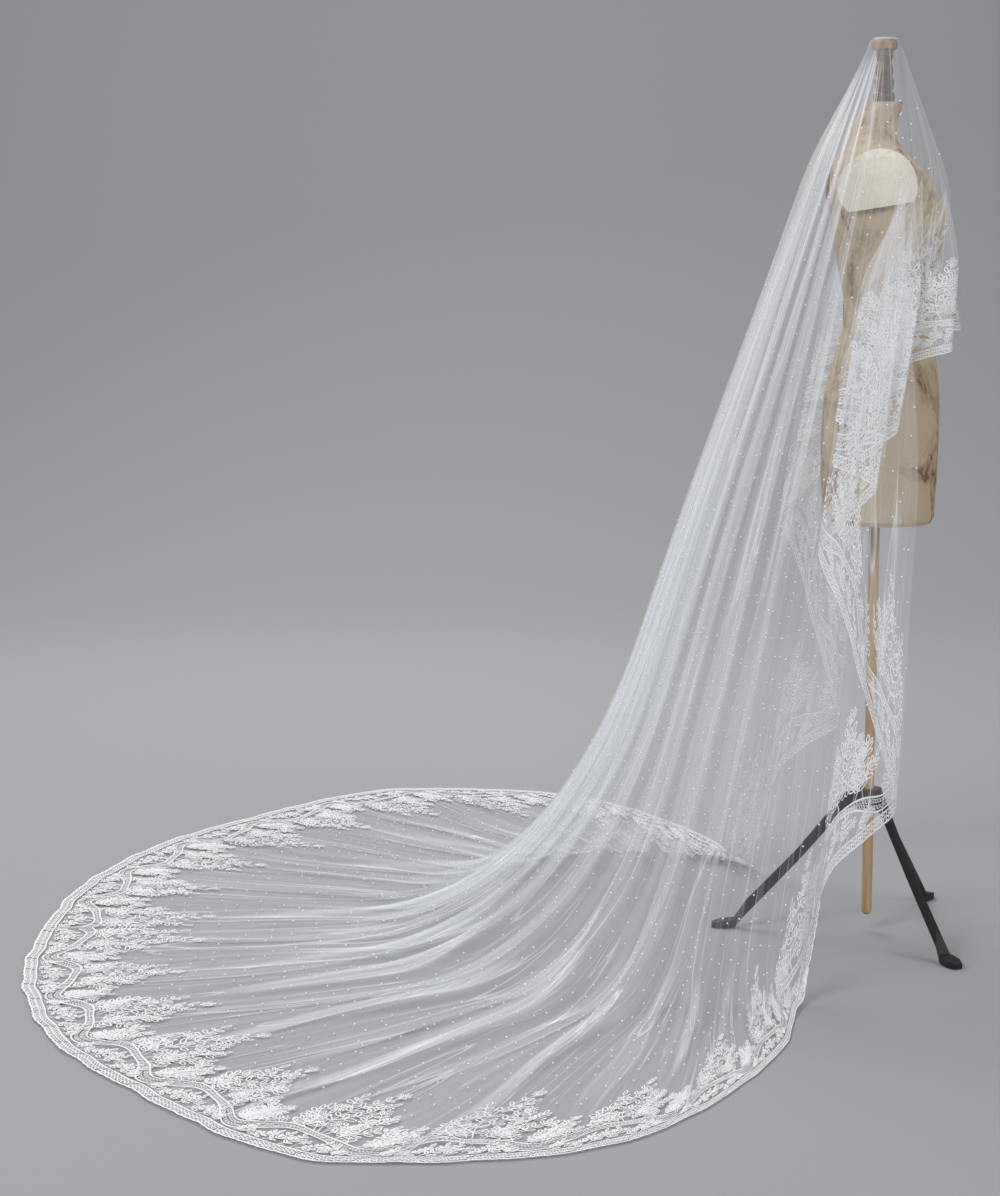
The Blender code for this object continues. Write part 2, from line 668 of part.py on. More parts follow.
def turned(name, profile, material, sides=ROUND_SIDES, centre=(0.0, 0.0)):
    """A solid of revolution about a vertical axis."""
    verts = []
    faces = []
    for z, radius in profile:
        for k in range(sides):
            angle = 2 * math.pi * k / sides
            verts.append((AXIS_X + centre[0] + radius * math.cos(angle), centre[1] + radius * math.sin(angle), z))
    for r in range(len(profile) - 1):
        for k in range(sides):
            n = (k + 1) % sides
            faces.append((r * sides + k, r * sides + n, (r + 1) * sides + n, (r + 1) * sides + k))
    faces.append(tuple(range(sides))[::-1])
    top = (len(profile) - 1) * sides
    faces.append(tuple(top + k for k in range(sides)))
    return add_object(name, verts, faces, material)


def body_ring(z, front, back, half, power, sides, grow=0.0):
    """One level section of the form."""
    middle = (front + back) * 0.5
    reach = (front - back) * 0.5 + grow
    ring = []
    for k in range(sides):
        angle = 2 * math.pi * k / sides
        c = math.cos(angle)
        s = math.sin(angle)
        x = middle + reach * math.copysign(abs(c) ** (2.0 / power), c)
        y = (half + grow) * math.copysign(abs(s) ** (2.0 / power), s)
        ring.append((AXIS_X + x, y, z))
    return ring


def body_piece():
    """The dress form as one smooth solid."""
    verts = []
    faces = []
    for row in BODY:
        verts.extend(body_ring(*row, BODY_SIDES))
    top = len(BODY) - 1
    for r in range(top):
        for k in range(BODY_SIDES):
            n = (k + 1) % BODY_SIDES
            faces.append((r * BODY_SIDES + k, r * BODY_SIDES + n, (r + 1) * BODY_SIDES + n, (r + 1) * BODY_SIDES + k))
    faces.append(tuple(range(BODY_SIDES))[::-1])
    faces.append(tuple(top * BODY_SIDES + k for k in range(BODY_SIDES)))
    return add_object("form_body", verts, faces, "linen")


def arm_cap(name, side):
    """An oval cloth cap over the end of one shoulder, lying on the form."""
    rows = np.array(BODY)
    rings = 5
    sides = 28
    centre_x = -0.022
    centre_z = 1.368
    half_x = 0.062
    half_z = 0.052
    verts = []
    faces = []

    def on_form(x, z):
        front, back, half, power = [float(np.interp(z, rows[:, 0], rows[:, k])) for k in (1, 2, 3, 4)]
        middle = (front + back) * 0.5
        reach = (front - back) * 0.5
        part = min(abs((x - middle) / reach), 0.985)
        return half * (1.0 - part ** power) ** (1.0 / power)

    for lift in (0.0065, 0.0):
        for r in range(rings + 1):
            share = r / rings
            for k in range(sides if r else 1):
                angle = 2 * math.pi * k / sides
                x = centre_x + half_x * share * math.cos(angle)
                z = centre_z + half_z * share * math.sin(angle)
                rise = 0.0046 + lift * math.sqrt(max(0.0, 1.0 - share ** 2 * 0.86))
                verts.append((AXIS_X + x, side * (on_form(x, z) + rise), z))
    block = 1 + rings * sides
    for skin in (0, block):
        for k in range(sides):
            n = (k + 1) % sides
            faces.append((skin, skin + 1 + k, skin + 1 + n))
            for ring in range(rings - 1):
                a = skin + 1 + ring * sides
                faces.append((a + k, a + sides + k, a + sides + n, a + n))
    for k in range(sides):
        n = (k + 1) % sides
        a = 1 + (rings - 1) * sides
        faces.append((a + k, a + block + k, a + block + n, a + n))
    return add_object(name, verts, faces, "armcloth")


def hub_piece():
    """The collar round the pole that carries the three legs."""
    sides = ROUND_SIDES
    inside = POLE[-1][1] + SEAM
    verts = []
    faces = []
    for radius, z in ((inside, HUB_LOW), (HUB_RADIUS, HUB_LOW), (HUB_RADIUS, HUB_HIGH), (inside, HUB_HIGH)):
        for k in range(sides):
            angle = 2 * math.pi * k / sides
            verts.append((AXIS_X + radius * math.cos(angle), radius * math.sin(angle), z))
    for r in range(4):
        for k in range(sides):
            n = (k + 1) % sides
            nxt = (r + 1) % 4
            faces.append((r * sides + k, r * sides + n, nxt * sides + n, nxt * sides + k))
    return add_object("stand_hub", verts, faces, "legmetal")


def leg_piece(name, turn):
    """A flat leg from the hub down to a round foot pad, as one solid."""
    out = np.array([math.cos(turn), math.sin(turn), 0.0])
    side = np.array([-math.sin(turn), math.cos(turn), 0.0])
    up = np.array([0.0, 0.0, 1.0])
    start = HUB_RADIUS + SEAM
    stations = [
        (start, HUB_HIGH - 0.006, HUB_LOW + 0.006, LEG_THICK),
        (start + 0.020, HUB_HIGH - 0.008, HUB_LOW + 0.000, LEG_THICK),
        (LEG_REACH * 0.50, 0.152, 0.128, LEG_THICK),
        (LEG_REACH * 0.86, 0.050, 0.024, LEG_THICK * 1.2),
        (LEG_REACH - 0.016, 0.016, 0.000, 0.022),
        (LEG_REACH + 0.010, 0.012, 0.000, 0.028),
        (LEG_REACH + 0.026, 0.008, 0.000, 0.016),
    ]
    verts = []
    faces = []
    for reach, high, low, wide in stations:
        for s, z in ((-1, low), (1, low), (1, high), (-1, high)):
            p = out * reach + side * (s * wide * 0.5) + up * z
            verts.append((AXIS_X + p[0], p[1], p[2]))
    for r in range(len(stations) - 1):
        for k in range(4):
            n = (k + 1) % 4
            faces.append((r * 4 + k, r * 4 + n, (r + 1) * 4 + n, (r + 1) * 4 + k))
    faces.append((3, 2, 1, 0))
    last = (len(stations) - 1) * 4
    faces.append((last, last + 1, last + 2, last + 3))
    return add_object(name, verts, faces, "legmetal", smooth_shade=False)


def main():
    for obj in list(bpy.data.objects):
        bpy.data.objects.remove(obj, do_unlink=True)
    for name in MATERIALS:
        MATS[name] = make_material(name)

    body_piece()
    turned("neck_finial", FINIAL, "neckwood", sides=20)
    turned("neck_cap", CAP, "capwood")
    arm_cap("arm_cap_near", -1)
    arm_cap("arm_cap_far", 1)
    turned("stand_pole", POLE, "polewood", sides=20)
    hub_piece()
    for number in range(3):
        leg_piece("stand_leg_%d" % (number + 1), LEG_TURN + number * math.radians(120.0))

    crown_piece()
    split_one = 8.0
    split_two = float(FIRST_TURN)
    split_three = float(HALF_FOLDS - 2)
    for side, word in ((-1, "near"), (1, "far")):
        tulle_piece("tulle_back_" + word, [(side, 0.0, split_one)], 3, tent_rows)
        tulle_piece("tulle_side_" + word, [(side, split_one, split_two)], 3, tent_rows)
        tulle_piece("tulle_cascade_" + word, [(side, split_two, split_three)], 3, tent_rows)
        tulle_piece("train_" + word, [(side, split_one * 0.5, FLOOR_LIMIT)], 3, floor_rows)
    ends = float(HALF_FOLDS)
    tulle_piece("tulle_front", [(-1, split_three, ends), (1, ends, split_three)], 6, tent_rows)
    tulle_piece("train_back", [(-1, split_one * 0.5, 0.0), (1, 0.0, split_one * 0.5)], 3, floor_rows)
    for side, word in ((-1, "near"), (1, "far")):
        lace_piece("lace_train_" + word, [(side, 4, 11)], 3, 2, FLAT_LACE)
        lace_piece("lace_landing_" + word, [(side, 11, FIRST_TURN)], 3, 2, LANDING_LACE)
        lace_piece("lace_cascade_" + word, [(side, FIRST_TURN, HALF_FOLDS - 2)], 3, 2, HUNG_LACE)
    lace_piece("lace_back", [(-1, 4, 0), (1, 0, 4)], 3, 2, FLAT_LACE)
    lace_piece("lace_front", [(-1, HALF_FOLDS - 2, HALF_FOLDS), (1, HALF_FOLDS, HALF_FOLDS - 2)], 6, 3, HUNG_LACE)


MATS = {}
main()
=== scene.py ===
"""A sheer circular bridal veil with a wide lace border, draped over a limbless dress form.

Metres, +Z up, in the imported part's own frame. The cloth is worked out by the same drape as the
solids, with more columns, and the lace, the beads and the small creases are added to it here.
"""
import bpy
import bmesh
import json
import math
import numpy as np
from mathutils import Matrix, Vector

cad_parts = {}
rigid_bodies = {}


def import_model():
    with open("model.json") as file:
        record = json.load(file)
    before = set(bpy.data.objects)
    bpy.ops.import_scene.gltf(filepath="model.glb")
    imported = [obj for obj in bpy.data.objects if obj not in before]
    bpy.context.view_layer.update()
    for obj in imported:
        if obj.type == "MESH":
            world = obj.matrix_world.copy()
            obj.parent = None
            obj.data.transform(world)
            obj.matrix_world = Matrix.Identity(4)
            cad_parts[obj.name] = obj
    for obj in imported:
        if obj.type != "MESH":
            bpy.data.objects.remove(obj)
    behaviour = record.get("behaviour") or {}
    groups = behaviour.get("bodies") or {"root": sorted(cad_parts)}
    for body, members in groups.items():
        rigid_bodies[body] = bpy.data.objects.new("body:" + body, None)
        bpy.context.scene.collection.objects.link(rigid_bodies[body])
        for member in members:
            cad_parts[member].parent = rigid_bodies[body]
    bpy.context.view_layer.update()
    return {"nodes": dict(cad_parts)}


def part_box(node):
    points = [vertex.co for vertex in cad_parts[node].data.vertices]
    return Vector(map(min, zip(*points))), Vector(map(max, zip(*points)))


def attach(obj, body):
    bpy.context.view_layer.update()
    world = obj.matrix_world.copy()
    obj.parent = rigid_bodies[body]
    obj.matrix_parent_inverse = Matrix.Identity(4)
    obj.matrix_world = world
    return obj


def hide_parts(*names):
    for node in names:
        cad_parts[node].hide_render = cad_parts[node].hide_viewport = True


# Sizes that the cloth is draped by
AXIS_X = 0.6920            # the pole axis from the middle of the footprint
TULLE_WALL = 0.0010
LACE_WIDTH = 0.190         # depth of the lace border, measured up from the hem
LACE_WIDTH_FRONT = 0.125   # and over the bust
RIM_RADIUS = 0.0262        # where the veil turns down over the cap
RIM_Z = 1.6440
CAP_TOP_Z = 1.6480
SHOULDER_ROUND = 0.050     # half length of the bend over the shoulder
TURN_ROUND = 0.022         # how full each turn of the cascade is
TIP_LEVEL = 0.75           # how nearly level the hem runs through each turn
FORM_GAP_X = 0.008         # least room between the cloth and the form, front and back
FORM_GAP_Y = 0.016         # and at the sides, over the arm caps

# One row per station round the veil, from the back middle (0) to the front middle (1), about the
# pole axis: its place, the shoulder's x y z, the foot's (or hanging hem's) x y z, the train hem's
# x y, and the rise and run of the bend on to the floor
STATIONS = [
    (0.000, -0.122, 0.000, 1.400, -0.590, 0.000, 0.000, -1.553, 0.000, 0.600, 0.400),
    (0.120, -0.116, 0.078, 1.412, -0.570, 0.150, 0.000, -1.515, 0.400, 0.560, 0.380),
    (0.240, -0.096, 0.142, 1.424, -0.505, 0.290, 0.000, -1.310, 0.840, 0.450, 0.330),
    (0.340, -0.072, 0.180, 1.430, -0.425, 0.380, 0.000, -0.900, 1.215, 0.320, 0.280),
    (0.430, -0.048, 0.208, 1.434, -0.345, 0.425, 0.000, -0.480, 1.105, 0.220, 0.220),
    (0.500, -0.028, 0.229, 1.434, -0.265, 0.448, 0.000, -0.240, 0.720, 0.150, 0.150),
    (0.545, -0.014, 0.242, 1.434, -0.188, 0.452, 0.000, -0.180, 0.482, 0.050, 0.015),
    (0.580, -0.004, 0.245, 1.434, -0.120, 0.415, 0.180, -0.120, 0.415, 0.000, 0.000),
    (0.620, 0.000, 0.243, 1.432, -0.065, 0.368, 0.370, -0.065, 0.368, 0.000, 0.000),
    (0.660, 0.003, 0.239, 1.430, -0.060, 0.341, 0.560, -0.060, 0.341, 0.000, 0.000),
    (0.720, 0.008, 0.232, 1.427, -0.070, 0.308, 0.750, -0.070, 0.308, 0.000, 0.000),
    (0.780, 0.015, 0.221, 1.421, -0.060, 0.278, 0.885, -0.060, 0.278, 0.000, 0.000),
    (0.840, 0.028, 0.209, 1.414, -0.040, 0.243, 0.985, -0.040, 0.243, 0.000, 0.000),
    (0.900, 0.056, 0.192, 1.404, 0.020, 0.211, 1.065, 0.020, 0.211, 0.000, 0.000),
    (0.950, 0.100, 0.150, 1.380, 0.090, 0.166, 1.110, 0.090, 0.166, 0.000, 0.000),
    (1.000, 0.126, 0.000, 1.330, 0.153, 0.000, 1.128, 0.153, 0.000, 0.000, 0.000),
]

# One row per gathered fold, from the back middle: share of the half round, crest height, sway
BACK_FOLDS = [
    (0.046, 0.026, 0.075),
    (0.050, 0.030, 0.085),
    (0.054, 0.033, 0.095),
    (0.062, 0.038, 0.112),
    (0.068, 0.041, 0.126),
    (0.074, 0.040, 0.120),
    (0.078, 0.038, 0.110),
    (0.076, 0.030, 0.070),
]

# One row per turn of the cascade at the hem: share of the half round, the tip's x y z, and how
# full the cloth turns there (0 where it only passes by)
CASCADE = [
    (0.583, -0.132, 0.414, 0.200, 0.0),
    (0.612, -0.007, 0.374, 0.314, 1.0),
    (0.664, -0.082, 0.330, 0.585, 0.0),
    (0.726, -0.140, 0.304, 0.755, 1.2),
    (0.768, -0.039, 0.286, 0.865, 1.0),
    (0.792, -0.113, 0.270, 0.901, 1.0),
    (0.822, 0.000, 0.256, 0.958, 1.0),
    (0.842, -0.107, 0.241, 0.979, 1.0),
    (0.872, 0.015, 0.227, 1.030, 1.0),
    (0.892, -0.080, 0.212, 1.050, 1.0),
    (0.932, 0.101, 0.195, 1.095, 1.0),
    (0.955, -0.017, 0.184, 1.119, 1.0),
]

# The far side hangs a little differently: fold height and sway as a share of the near side's
FAR_FOLD = 0.90
FAR_SWAY = 0.94

# The dress form: height, front, back, half width, squareness
BODY = [
    (0.780, 0.098, -0.090, 0.148, 2.3),
    (0.788, 0.103, -0.095, 0.154, 2.3),
    (0.860, 0.107, -0.099, 0.160, 2.3),
    (0.940, 0.109, -0.100, 0.161, 2.3),
    (1.010, 0.109, -0.094, 0.154, 2.3),
    (1.070, 0.103, -0.080, 0.138, 2.2),
    (1.130, 0.091, -0.064, 0.120, 2.1),
    (1.185, 0.087, -0.064, 0.116, 2.1),
    (1.235, 0.093, -0.074, 0.124, 2.2),
    (1.280, 0.109, -0.083, 0.136, 2.3),
    (1.312, 0.116, -0.087, 0.147, 2.4),
    (1.350, 0.106, -0.090, 0.157, 2.4),
    (1.385, 0.088, -0.091, 0.163, 2.4),
    (1.410, 0.072, -0.089, 0.163, 2.3),
    (1.430, 0.052, -0.084, 0.152, 2.2),
    (1.446, 0.038, -0.078, 0.124, 2.1),
    (1.460, 0.030, -0.070, 0.088, 2.0),
    (1.474, 0.025, -0.063, 0.058, 2.0),
    (1.492, 0.024, -0.056, 0.044, 2.0),
    (1.515, 0.030, -0.046, 0.040, 2.0),
    (1.534, 0.035, -0.038, 0.039, 2.0),
]


def blends(t):
    """A cubic's weights for its first row and slope and for its last row and slope."""
    return 2 * t ** 3 - 3 * t ** 2 + 1, t ** 3 - 2 * t ** 2 + t, -2 * t ** 3 + 3 * t ** 2, t ** 3 - t ** 2


def unit_length(way, least=1e-9):
    """Vectors brought to a length of one."""
    return way / np.maximum(np.linalg.norm(way, axis=-1), least)[..., None]


def spline(xs, ys, x):
    """Smooth curve through rows, with slopes from the neighbouring rows."""
    xs = np.asarray(xs, float)
    ys = np.asarray(ys, float)
    x = np.asarray(x, float)
    slope = np.gradient(ys, xs, axis=0)
    rate = np.diff(ys, axis=0) / np.diff(xs).reshape((-1,) + (1,) * (ys.ndim - 1))
    least = 3.0 * np.minimum(np.abs(rate[:-1]), np.abs(rate[1:]))
    slope[1:-1] = np.where(rate[:-1] * rate[1:] > 0.0, np.clip(slope[1:-1], -least, least), 0.0)
    k = np.clip(np.searchsorted(xs, x, side="right") - 1, 0, len(xs) - 2)
    h = (xs[k + 1] - xs[k])[..., None]
    t = ((x - xs[k])[..., None]) / h
    a, b, c, d = blends(t)
    return a * ys[k] + b * h * slope[k] + c * ys[k + 1] + d * h * slope[k + 1]


def summed(steps):
    """Lengths from the start to the end of each step."""
    return np.concatenate([[0.0], np.cumsum(steps)])


def smooth(x, low, high):
    """Soft step from 0 to 1."""
    t = np.clip((x - low) / (high - low), 0, 1)
    return t * t * (3 - 2 * t)


def mirrored_stations():
    """Station rows carried past both middles so that the rings cross them squarely."""
    rows = np.array(STATIONS)
    flip = np.ones(rows.shape[1])
    flip[[2, 5, 8]] = -1.0
    before = rows[1:3][::-1] * flip
    before[:, 0] = -rows[1:3][::-1][:, 0]
    after = rows[-3:-1][::-1] * flip
    after[:, 0] = 2.0 - rows[-3:-1][::-1][:, 0]
    return np.vstack([before, rows, after])


STATION_ROWS = mirrored_stations()


def controls(w):
    """Cap rim, shoulder, foot and train hem points, with the foot bend's two lengths."""
    row = spline(STATION_ROWS[:, 0], STATION_ROWS[:, 1:], w)
    turn = np.pi * np.asarray(w)
    rim = np.stack([-RIM_RADIUS * np.cos(turn), RIM_RADIUS * np.sin(turn), np.full_like(turn, RIM_Z)],
                   -1)
    shoulder = row[..., 0:3]
    foot = row[..., 3:6].copy()
    foot[..., 2] = np.maximum(foot[..., 2], 0.0)
    hem = foot.copy()
    on_floor = 1.0 - smooth(np.asarray(w), STATIONS[6][0], STATIONS[7][0])
    hem[..., 0] += (row[..., 6] - foot[..., 0]) * on_floor
    hem[..., 1] += (row[..., 7] - foot[..., 1]) * on_floor
    return rim, shoulder, foot, hem, np.maximum(row[..., 8], 0.0), np.maximum(row[..., 9], 0.0)


def legs(w):
    """Lengths of the three straight legs of a ray."""
    rim, shoulder, foot, hem = controls(w)[:4]
    one = np.linalg.norm(shoulder - rim, axis=-1)
    two = np.linalg.norm(foot - shoulder, axis=-1)
    three = np.linalg.norm(hem - foot, axis=-1)
    return one, two, three


def bent(q, first, corner, last):
    """A round bend from first to last that leaves out the corner between them."""
    return (1 - q) ** 2 * first + 2 * q * (1 - q) * corner + q ** 2 * last


def base_point(w, d):
    """Point of the smooth drape, without folds, at a length d down the ray w."""
    rim, shoulder, foot, hem, rise, run = controls(w)
    one = np.linalg.norm(shoulder - rim, axis=-1)
    two = np.linalg.norm(foot - shoulder, axis=-1)
    three = np.linalg.norm(hem - foot, axis=-1)
    dir_one = (shoulder - rim) / one[..., None]
    dir_two = (foot - shoulder) / two[..., None]
    dir_three = (hem - foot) / np.maximum(three, 1e-6)[..., None]
    bend = np.minimum(SHOULDER_ROUND, 0.45 * one)
    rise = np.minimum(rise, 0.6 * two)
    run = np.minimum(run, 0.95 * three)
    out = rim + dir_one * d[..., None]
    past = d > one
    out = np.where(past[..., None], shoulder + dir_two * (d - one)[..., None], out)
    floor = (d > one + two) & (three > 1e-5)
    out = np.where(floor[..., None], foot + dir_three * (d - one - two)[..., None], out)
    # the bend over the shoulder
    q = np.clip((d - (one - bend)) / (2 * bend), 0, 1)[..., None]
    arc = bent(q, shoulder - dir_one * bend[..., None], shoulder, shoulder + dir_two * bend[..., None])
    near = np.abs(d - one) < bend
    out = np.where(near[..., None], arc, out)
    # the bend on to the floor
    span = np.maximum(rise + run, 1e-6)
    q = np.clip((d - (one + two - rise)) / span, 0, 1)[..., None]
    arc = bent(q, foot - dir_two * rise[..., None], foot, foot + dir_three * run[..., None])
    near = (d > one + two - rise) & (d < one + two + run) & (three > 1e-5)
    return np.where(near[..., None], arc, out)


def ring_ways(w):
    """Level directions along the shoulder ring and outward from it."""
    w = np.asarray(w, float)
    step = 0.01
    ahead = spline(STATION_ROWS[:, 0], STATION_ROWS[:, 1:3], w + step)
    behind = spline(STATION_ROWS[:, 0], STATION_ROWS[:, 1:3], w - step)
    way = unit_length(ahead - behind)
    zero = np.zeros(way.shape[:-1])
    along = np.stack([way[..., 0], way[..., 1], zero], -1)
    outward = np.stack([-way[..., 1], way[..., 0], zero], -1)
    return along, outward


FIRST_TURN = 2 * len(BACK_FOLDS) + 1


def fold_rows(side):
    """Rows of w, sway, height and drop at each half fold, with their slopes."""
    height = FAR_FOLD if side > 0 else 1.0
    sway = FAR_SWAY if side > 0 else 1.0
    rows = []
    slopes = []
    w = 0.0
    last = len(BACK_FOLDS) - 1
    for i, (share, crest, lean) in enumerate(BACK_FOLDS):
        rows.append((w, 0.0, crest * (1.0 if i == 0 else height), 0.0))
        slopes.append((0.0, lean * (1.0 if i == 0 else sway), 0.0, 0.0))
        rows.append((w + share * 0.5, 0.0, 0.0, 0.0))
        slopes.append((0.0, lean * sway * (0.35 if i == last else 1.0), 0.0, 0.0))
        w += share
    rows.append((0.538, 0.0, 0.012, 0.0))
    slopes.append((0.0, 0.0, 0.0, 0.0))
    for number, (w, x, y, z, turns) in enumerate(CASCADE):
        tip = np.array([x, y, z])
        base = controls(np.array(w))[2]
        off = tip - base
        along, outward = ring_ways(w)
        swing = 0.94 if side > 0 and number % 2 else 1.0
        rows.append((w, float(off @ along) * swing, float(off @ outward), float(off[2])))
        inward = -np.array([1.2 * x, y, 0.0]) / math.hypot(1.2 * x, y)
        inward *= TURN_ROUND * turns
        slopes.append((0.0, float(inward @ along), float(inward @ outward), 0.0))
    rows.append((1.0, 0.0, 0.0, 0.0))
    slopes.append((0.0, 0.0, 0.0, 0.0))
    rows = np.array(rows)
    slopes = np.array(slopes)
    for number, row in enumerate(CASCADE):
        if row[4] == 0.0:
            k = FIRST_TURN + number
            slopes[k] = (rows[k + 1] - rows[k - 1]) * 0.35
    slopes[:, 0] = np.gradient(rows[:, 0])
    slopes[0, 0] = rows[1, 0]
    slopes[-1, 0] = rows[-1, 0] - rows[-2, 0]
    for number, row in enumerate(CASCADE):
        if row[4] > 0.0:
            k = FIRST_TURN + number
            ahead = controls(np.array(rows[k, 0] + 0.004))[2][2]
            behind = controls(np.array(rows[k, 0] - 0.004))[2][2]
            slopes[k, 3] = -TIP_LEVEL * (ahead - behind) / 0.008 * slopes[k, 0]
    return rows, slopes


def clear_of_form(point):
    """Keep the cloth outside the form, in the order in which its layers lie."""
    rows = np.array(BODY)
    z = point[..., 2]
    front, back, half, power = [np.interp(z, rows[:, 0], rows[:, k]) for k in (1, 2, 3, 4)]
    middle = (front + back) * 0.5
    reach = (front - back) * 0.5 + FORM_GAP_X
    half = half + FORM_GAP_Y
    x = point[..., 0] - middle
    y = point[..., 1]
    rho = (np.abs(x / reach) ** power + np.abs(y / half) ** power) ** (1.0 / power)
    soft = 0.02
    pushed = 1.0 + soft * np.logaddexp(0.0, (rho - 1.0) / soft)
    low = smooth(z, rows[0, 0] - 0.06, rows[0, 0])
    high = 1.0 - smooth(z, rows[-1, 0], rows[-1, 0] + 0.03)
    scale = 1.0 + (pushed / np.maximum(rho, 1e-6) - 1.0) * low * high
    out = point.copy()
    out[..., 0] = middle + x * scale
    out[..., 1] = y * scale
    return out


FOLDS = {-1: fold_rows(-1), 1: fold_rows(1)}
HALF_FOLDS = len(FOLDS[-1][0]) - 1


def fold(u, side):
    """w, sway, height and drop at a place u counted in half folds."""
    rows, slopes = FOLDS[side]
    k = np.clip(np.floor(u).astype(int), 0, HALF_FOLDS - 1)
    t = (u - k)[..., None]
    a, b, c, d = blends(t)
    out = a * rows[k] + b * slopes[k] + c * rows[k + 1] + d * slopes[k + 1]
    return out[..., 0], out[..., 1], out[..., 2], out[..., 3]


def ray_length(u, side):
    """Length of cloth from the rim to the hem at u."""
    w = fold(np.asarray(u, float), side)[0]
    one, two, three = legs(w)
    return one + two + three


def veil(u, d, side):
    """The middle of the cloth: u counts half folds from the back, d is metres from the rim."""
    u = np.asarray(u, float)
    d = np.asarray(d, float)
    w, sway, high, drop = fold(u, side)
    point = base_point(w, d)
    step = 0.004
    ahead = base_point(w, d + step)
    behind = base_point(w, np.maximum(d - step, 0.0))
    down = unit_length(ahead - behind)
    along, outward = ring_ways(w)
    hung = smooth(u, FIRST_TURN - 1.0, FIRST_TURN)
    hanging = hung[..., None]
    normal = unit_length(np.cross(along, down))
    normal = unit_length(normal * (1 - hanging) + outward * hanging)
    one, two, three = legs(w)
    gather = 0.40 * smooth(d, 0.015, one)
    gather = gather + 0.60 * smooth(d, 0.6 * one, one + 0.85 * np.minimum(two, 1.0))
    swing = smooth(d, 0.92 * one, one + 0.55 * two)
    grow = gather * (1.0 - hung) + swing * hung
    past = (d - one - two) / np.maximum(three, 0.25)
    fade = 1.0 - 0.88 * smooth(past, 0.0, 0.80)
    late = smooth(d, 0.5 * one, one + 0.60 * two) * (1.0 - smooth(d - one - two, -0.18, 0.18))
    late = late * (1.0 - hung) + grow * hung
    push = along * (sway * late)[..., None] + normal * (high * grow * fade)[..., None]
    out = point + push
    out[..., 2] += grow * drop
    out = clear_of_form(out)
    out[..., 2] = np.maximum(out[..., 2], TULLE_WALL * 0.5)
    if side < 0:
        out[..., 1] *= -1.0
    out[..., 0] += AXIS_X
    return out


# Looks

NET_COLUMNS = 22           # columns of cloth in each half fold
NET_ROWS = 108             # rows from the cap to the hem
UNIT = 0.250               # one repeat of the lace along the hem
BEAD_STEP = 0.046          # between beads, along the cloth and across it
BEAD_RADIUS = 0.0019
BEADS_FROM = 0.16          # the first row of beads, from the cap's rim
HEM_WITHOUT_BEADS = 0.20
LACE_LIFT = 0.0010         # the lace lies this far over the net
LACE_LAYERS = 0.0016       # its threads cross one another within this height
FINE_THREAD = 0.0016       # widths of the lace's threads
LEAF_THREAD = 0.0024
STEM_THREAD = 0.0018
SCROLL_THREAD = 0.0022
RIBBON_THREAD = 0.0030
CELL = 0.0072              # pitch of the honeycomb in the ribbon
CELL_THREAD = 0.0013
RUNG = 0.0102              # pitch of the eyelets in the hem's ladder
RIBBON_ROOM = 0.010        # sprays start this far inside the ribbon's middle line
HEM_WAVE = 0.0020          # the hem wanders this far in and out
HEM_WAVE_LONG = 0.170      # in waves of these two lengths
HEM_WAVE_SHORT = 0.093
HEM_RIPPLE = 0.0012        # and ripples up and down by this much
HEM_RIPPLE_LENGTH = 0.070
HEM_SOFT = 0.14            # within this distance of the hem
FINE_CREASE = 0.0022       # height of the small creases that hang
FLOOR_CREASE = 0.0032      # and of those on the floor
CREASE_BEND = 260.0        # bend, one over the radius, at which a crease shows in full
HUNG_THIN = 0.72           # the layers over the shoulders show their creases this much less
NET_OPACITY = 0.055        # of one flat layer of net
CAP_SPREAD = 1.06          # the arm caps against their solids: width, height,
CAP_RISE = 1.26
CAP_SHIFT = 0.005          # shift to the back, height of the cut and its slope
CAP_CUT = 0.030
CAP_SLOPE = 0.16
FLOOR_COLOUR = (0.33, 0.335, 0.35)
AIR_COLOUR = (0.26, 0.265, 0.275)
SWEEP_FROM = 4.0           # the floor turns up behind the form from here, by this radius
SWEEP_RADIUS = 4.0
FLOOR_FRONT = 14.0         # the floor's reach to the front, its whole run and its half width
FLOOR_RUN = 30.0
FLOOR_HALF = 20.0
FLOOR_DROP = 0.002         # it lies this far under the feet
CAMERA_OFFSET = 0.6918     # the camera's place before the pole axis, its tilt and its lens
CAMERA_Y = -4.5955
CAMERA_Z = 1.2909
CAMERA_TILT = 8.163
CAMERA_LENS = 75.36

# Soft ridges across the floor, uneven: where along the hem they run to from the back middle, the
# shares of the floor's length where they start and end, half width, height and wander
FLOOR_RIDGES = [
    (0.10, 0.00, 0.86, 0.015, 0.012, 0.020), (0.24, 0.05, 0.62, 0.009, 0.008, 0.014),
    (0.37, 0.00, 0.93, 0.022, 0.016, 0.028), (0.55, 0.10, 0.74, 0.010, 0.009, 0.018),
    (0.69, 0.00, 0.88, 0.017, 0.014, 0.024), (0.86, 0.18, 0.92, 0.009, 0.008, 0.016),
    (1.02, 0.00, 0.80, 0.024, 0.017, 0.030), (1.21, 0.08, 0.95, 0.011, 0.009, 0.020),
    (1.39, 0.00, 0.72, 0.018, 0.013, 0.022), (1.58, 0.20, 0.90, 0.009, 0.007, 0.018),
    (1.77, 0.00, 0.84, 0.020, 0.014, 0.026), (1.98, 0.12, 0.70, 0.010, 0.008, 0.016),
    (2.18, 0.00, 0.90, 0.016, 0.012, 0.022), (2.40, 0.15, 0.80, 0.012, 0.008, 0.020),
    (2.62, 0.05, 0.75, 0.014, 0.009, 0.018),
]


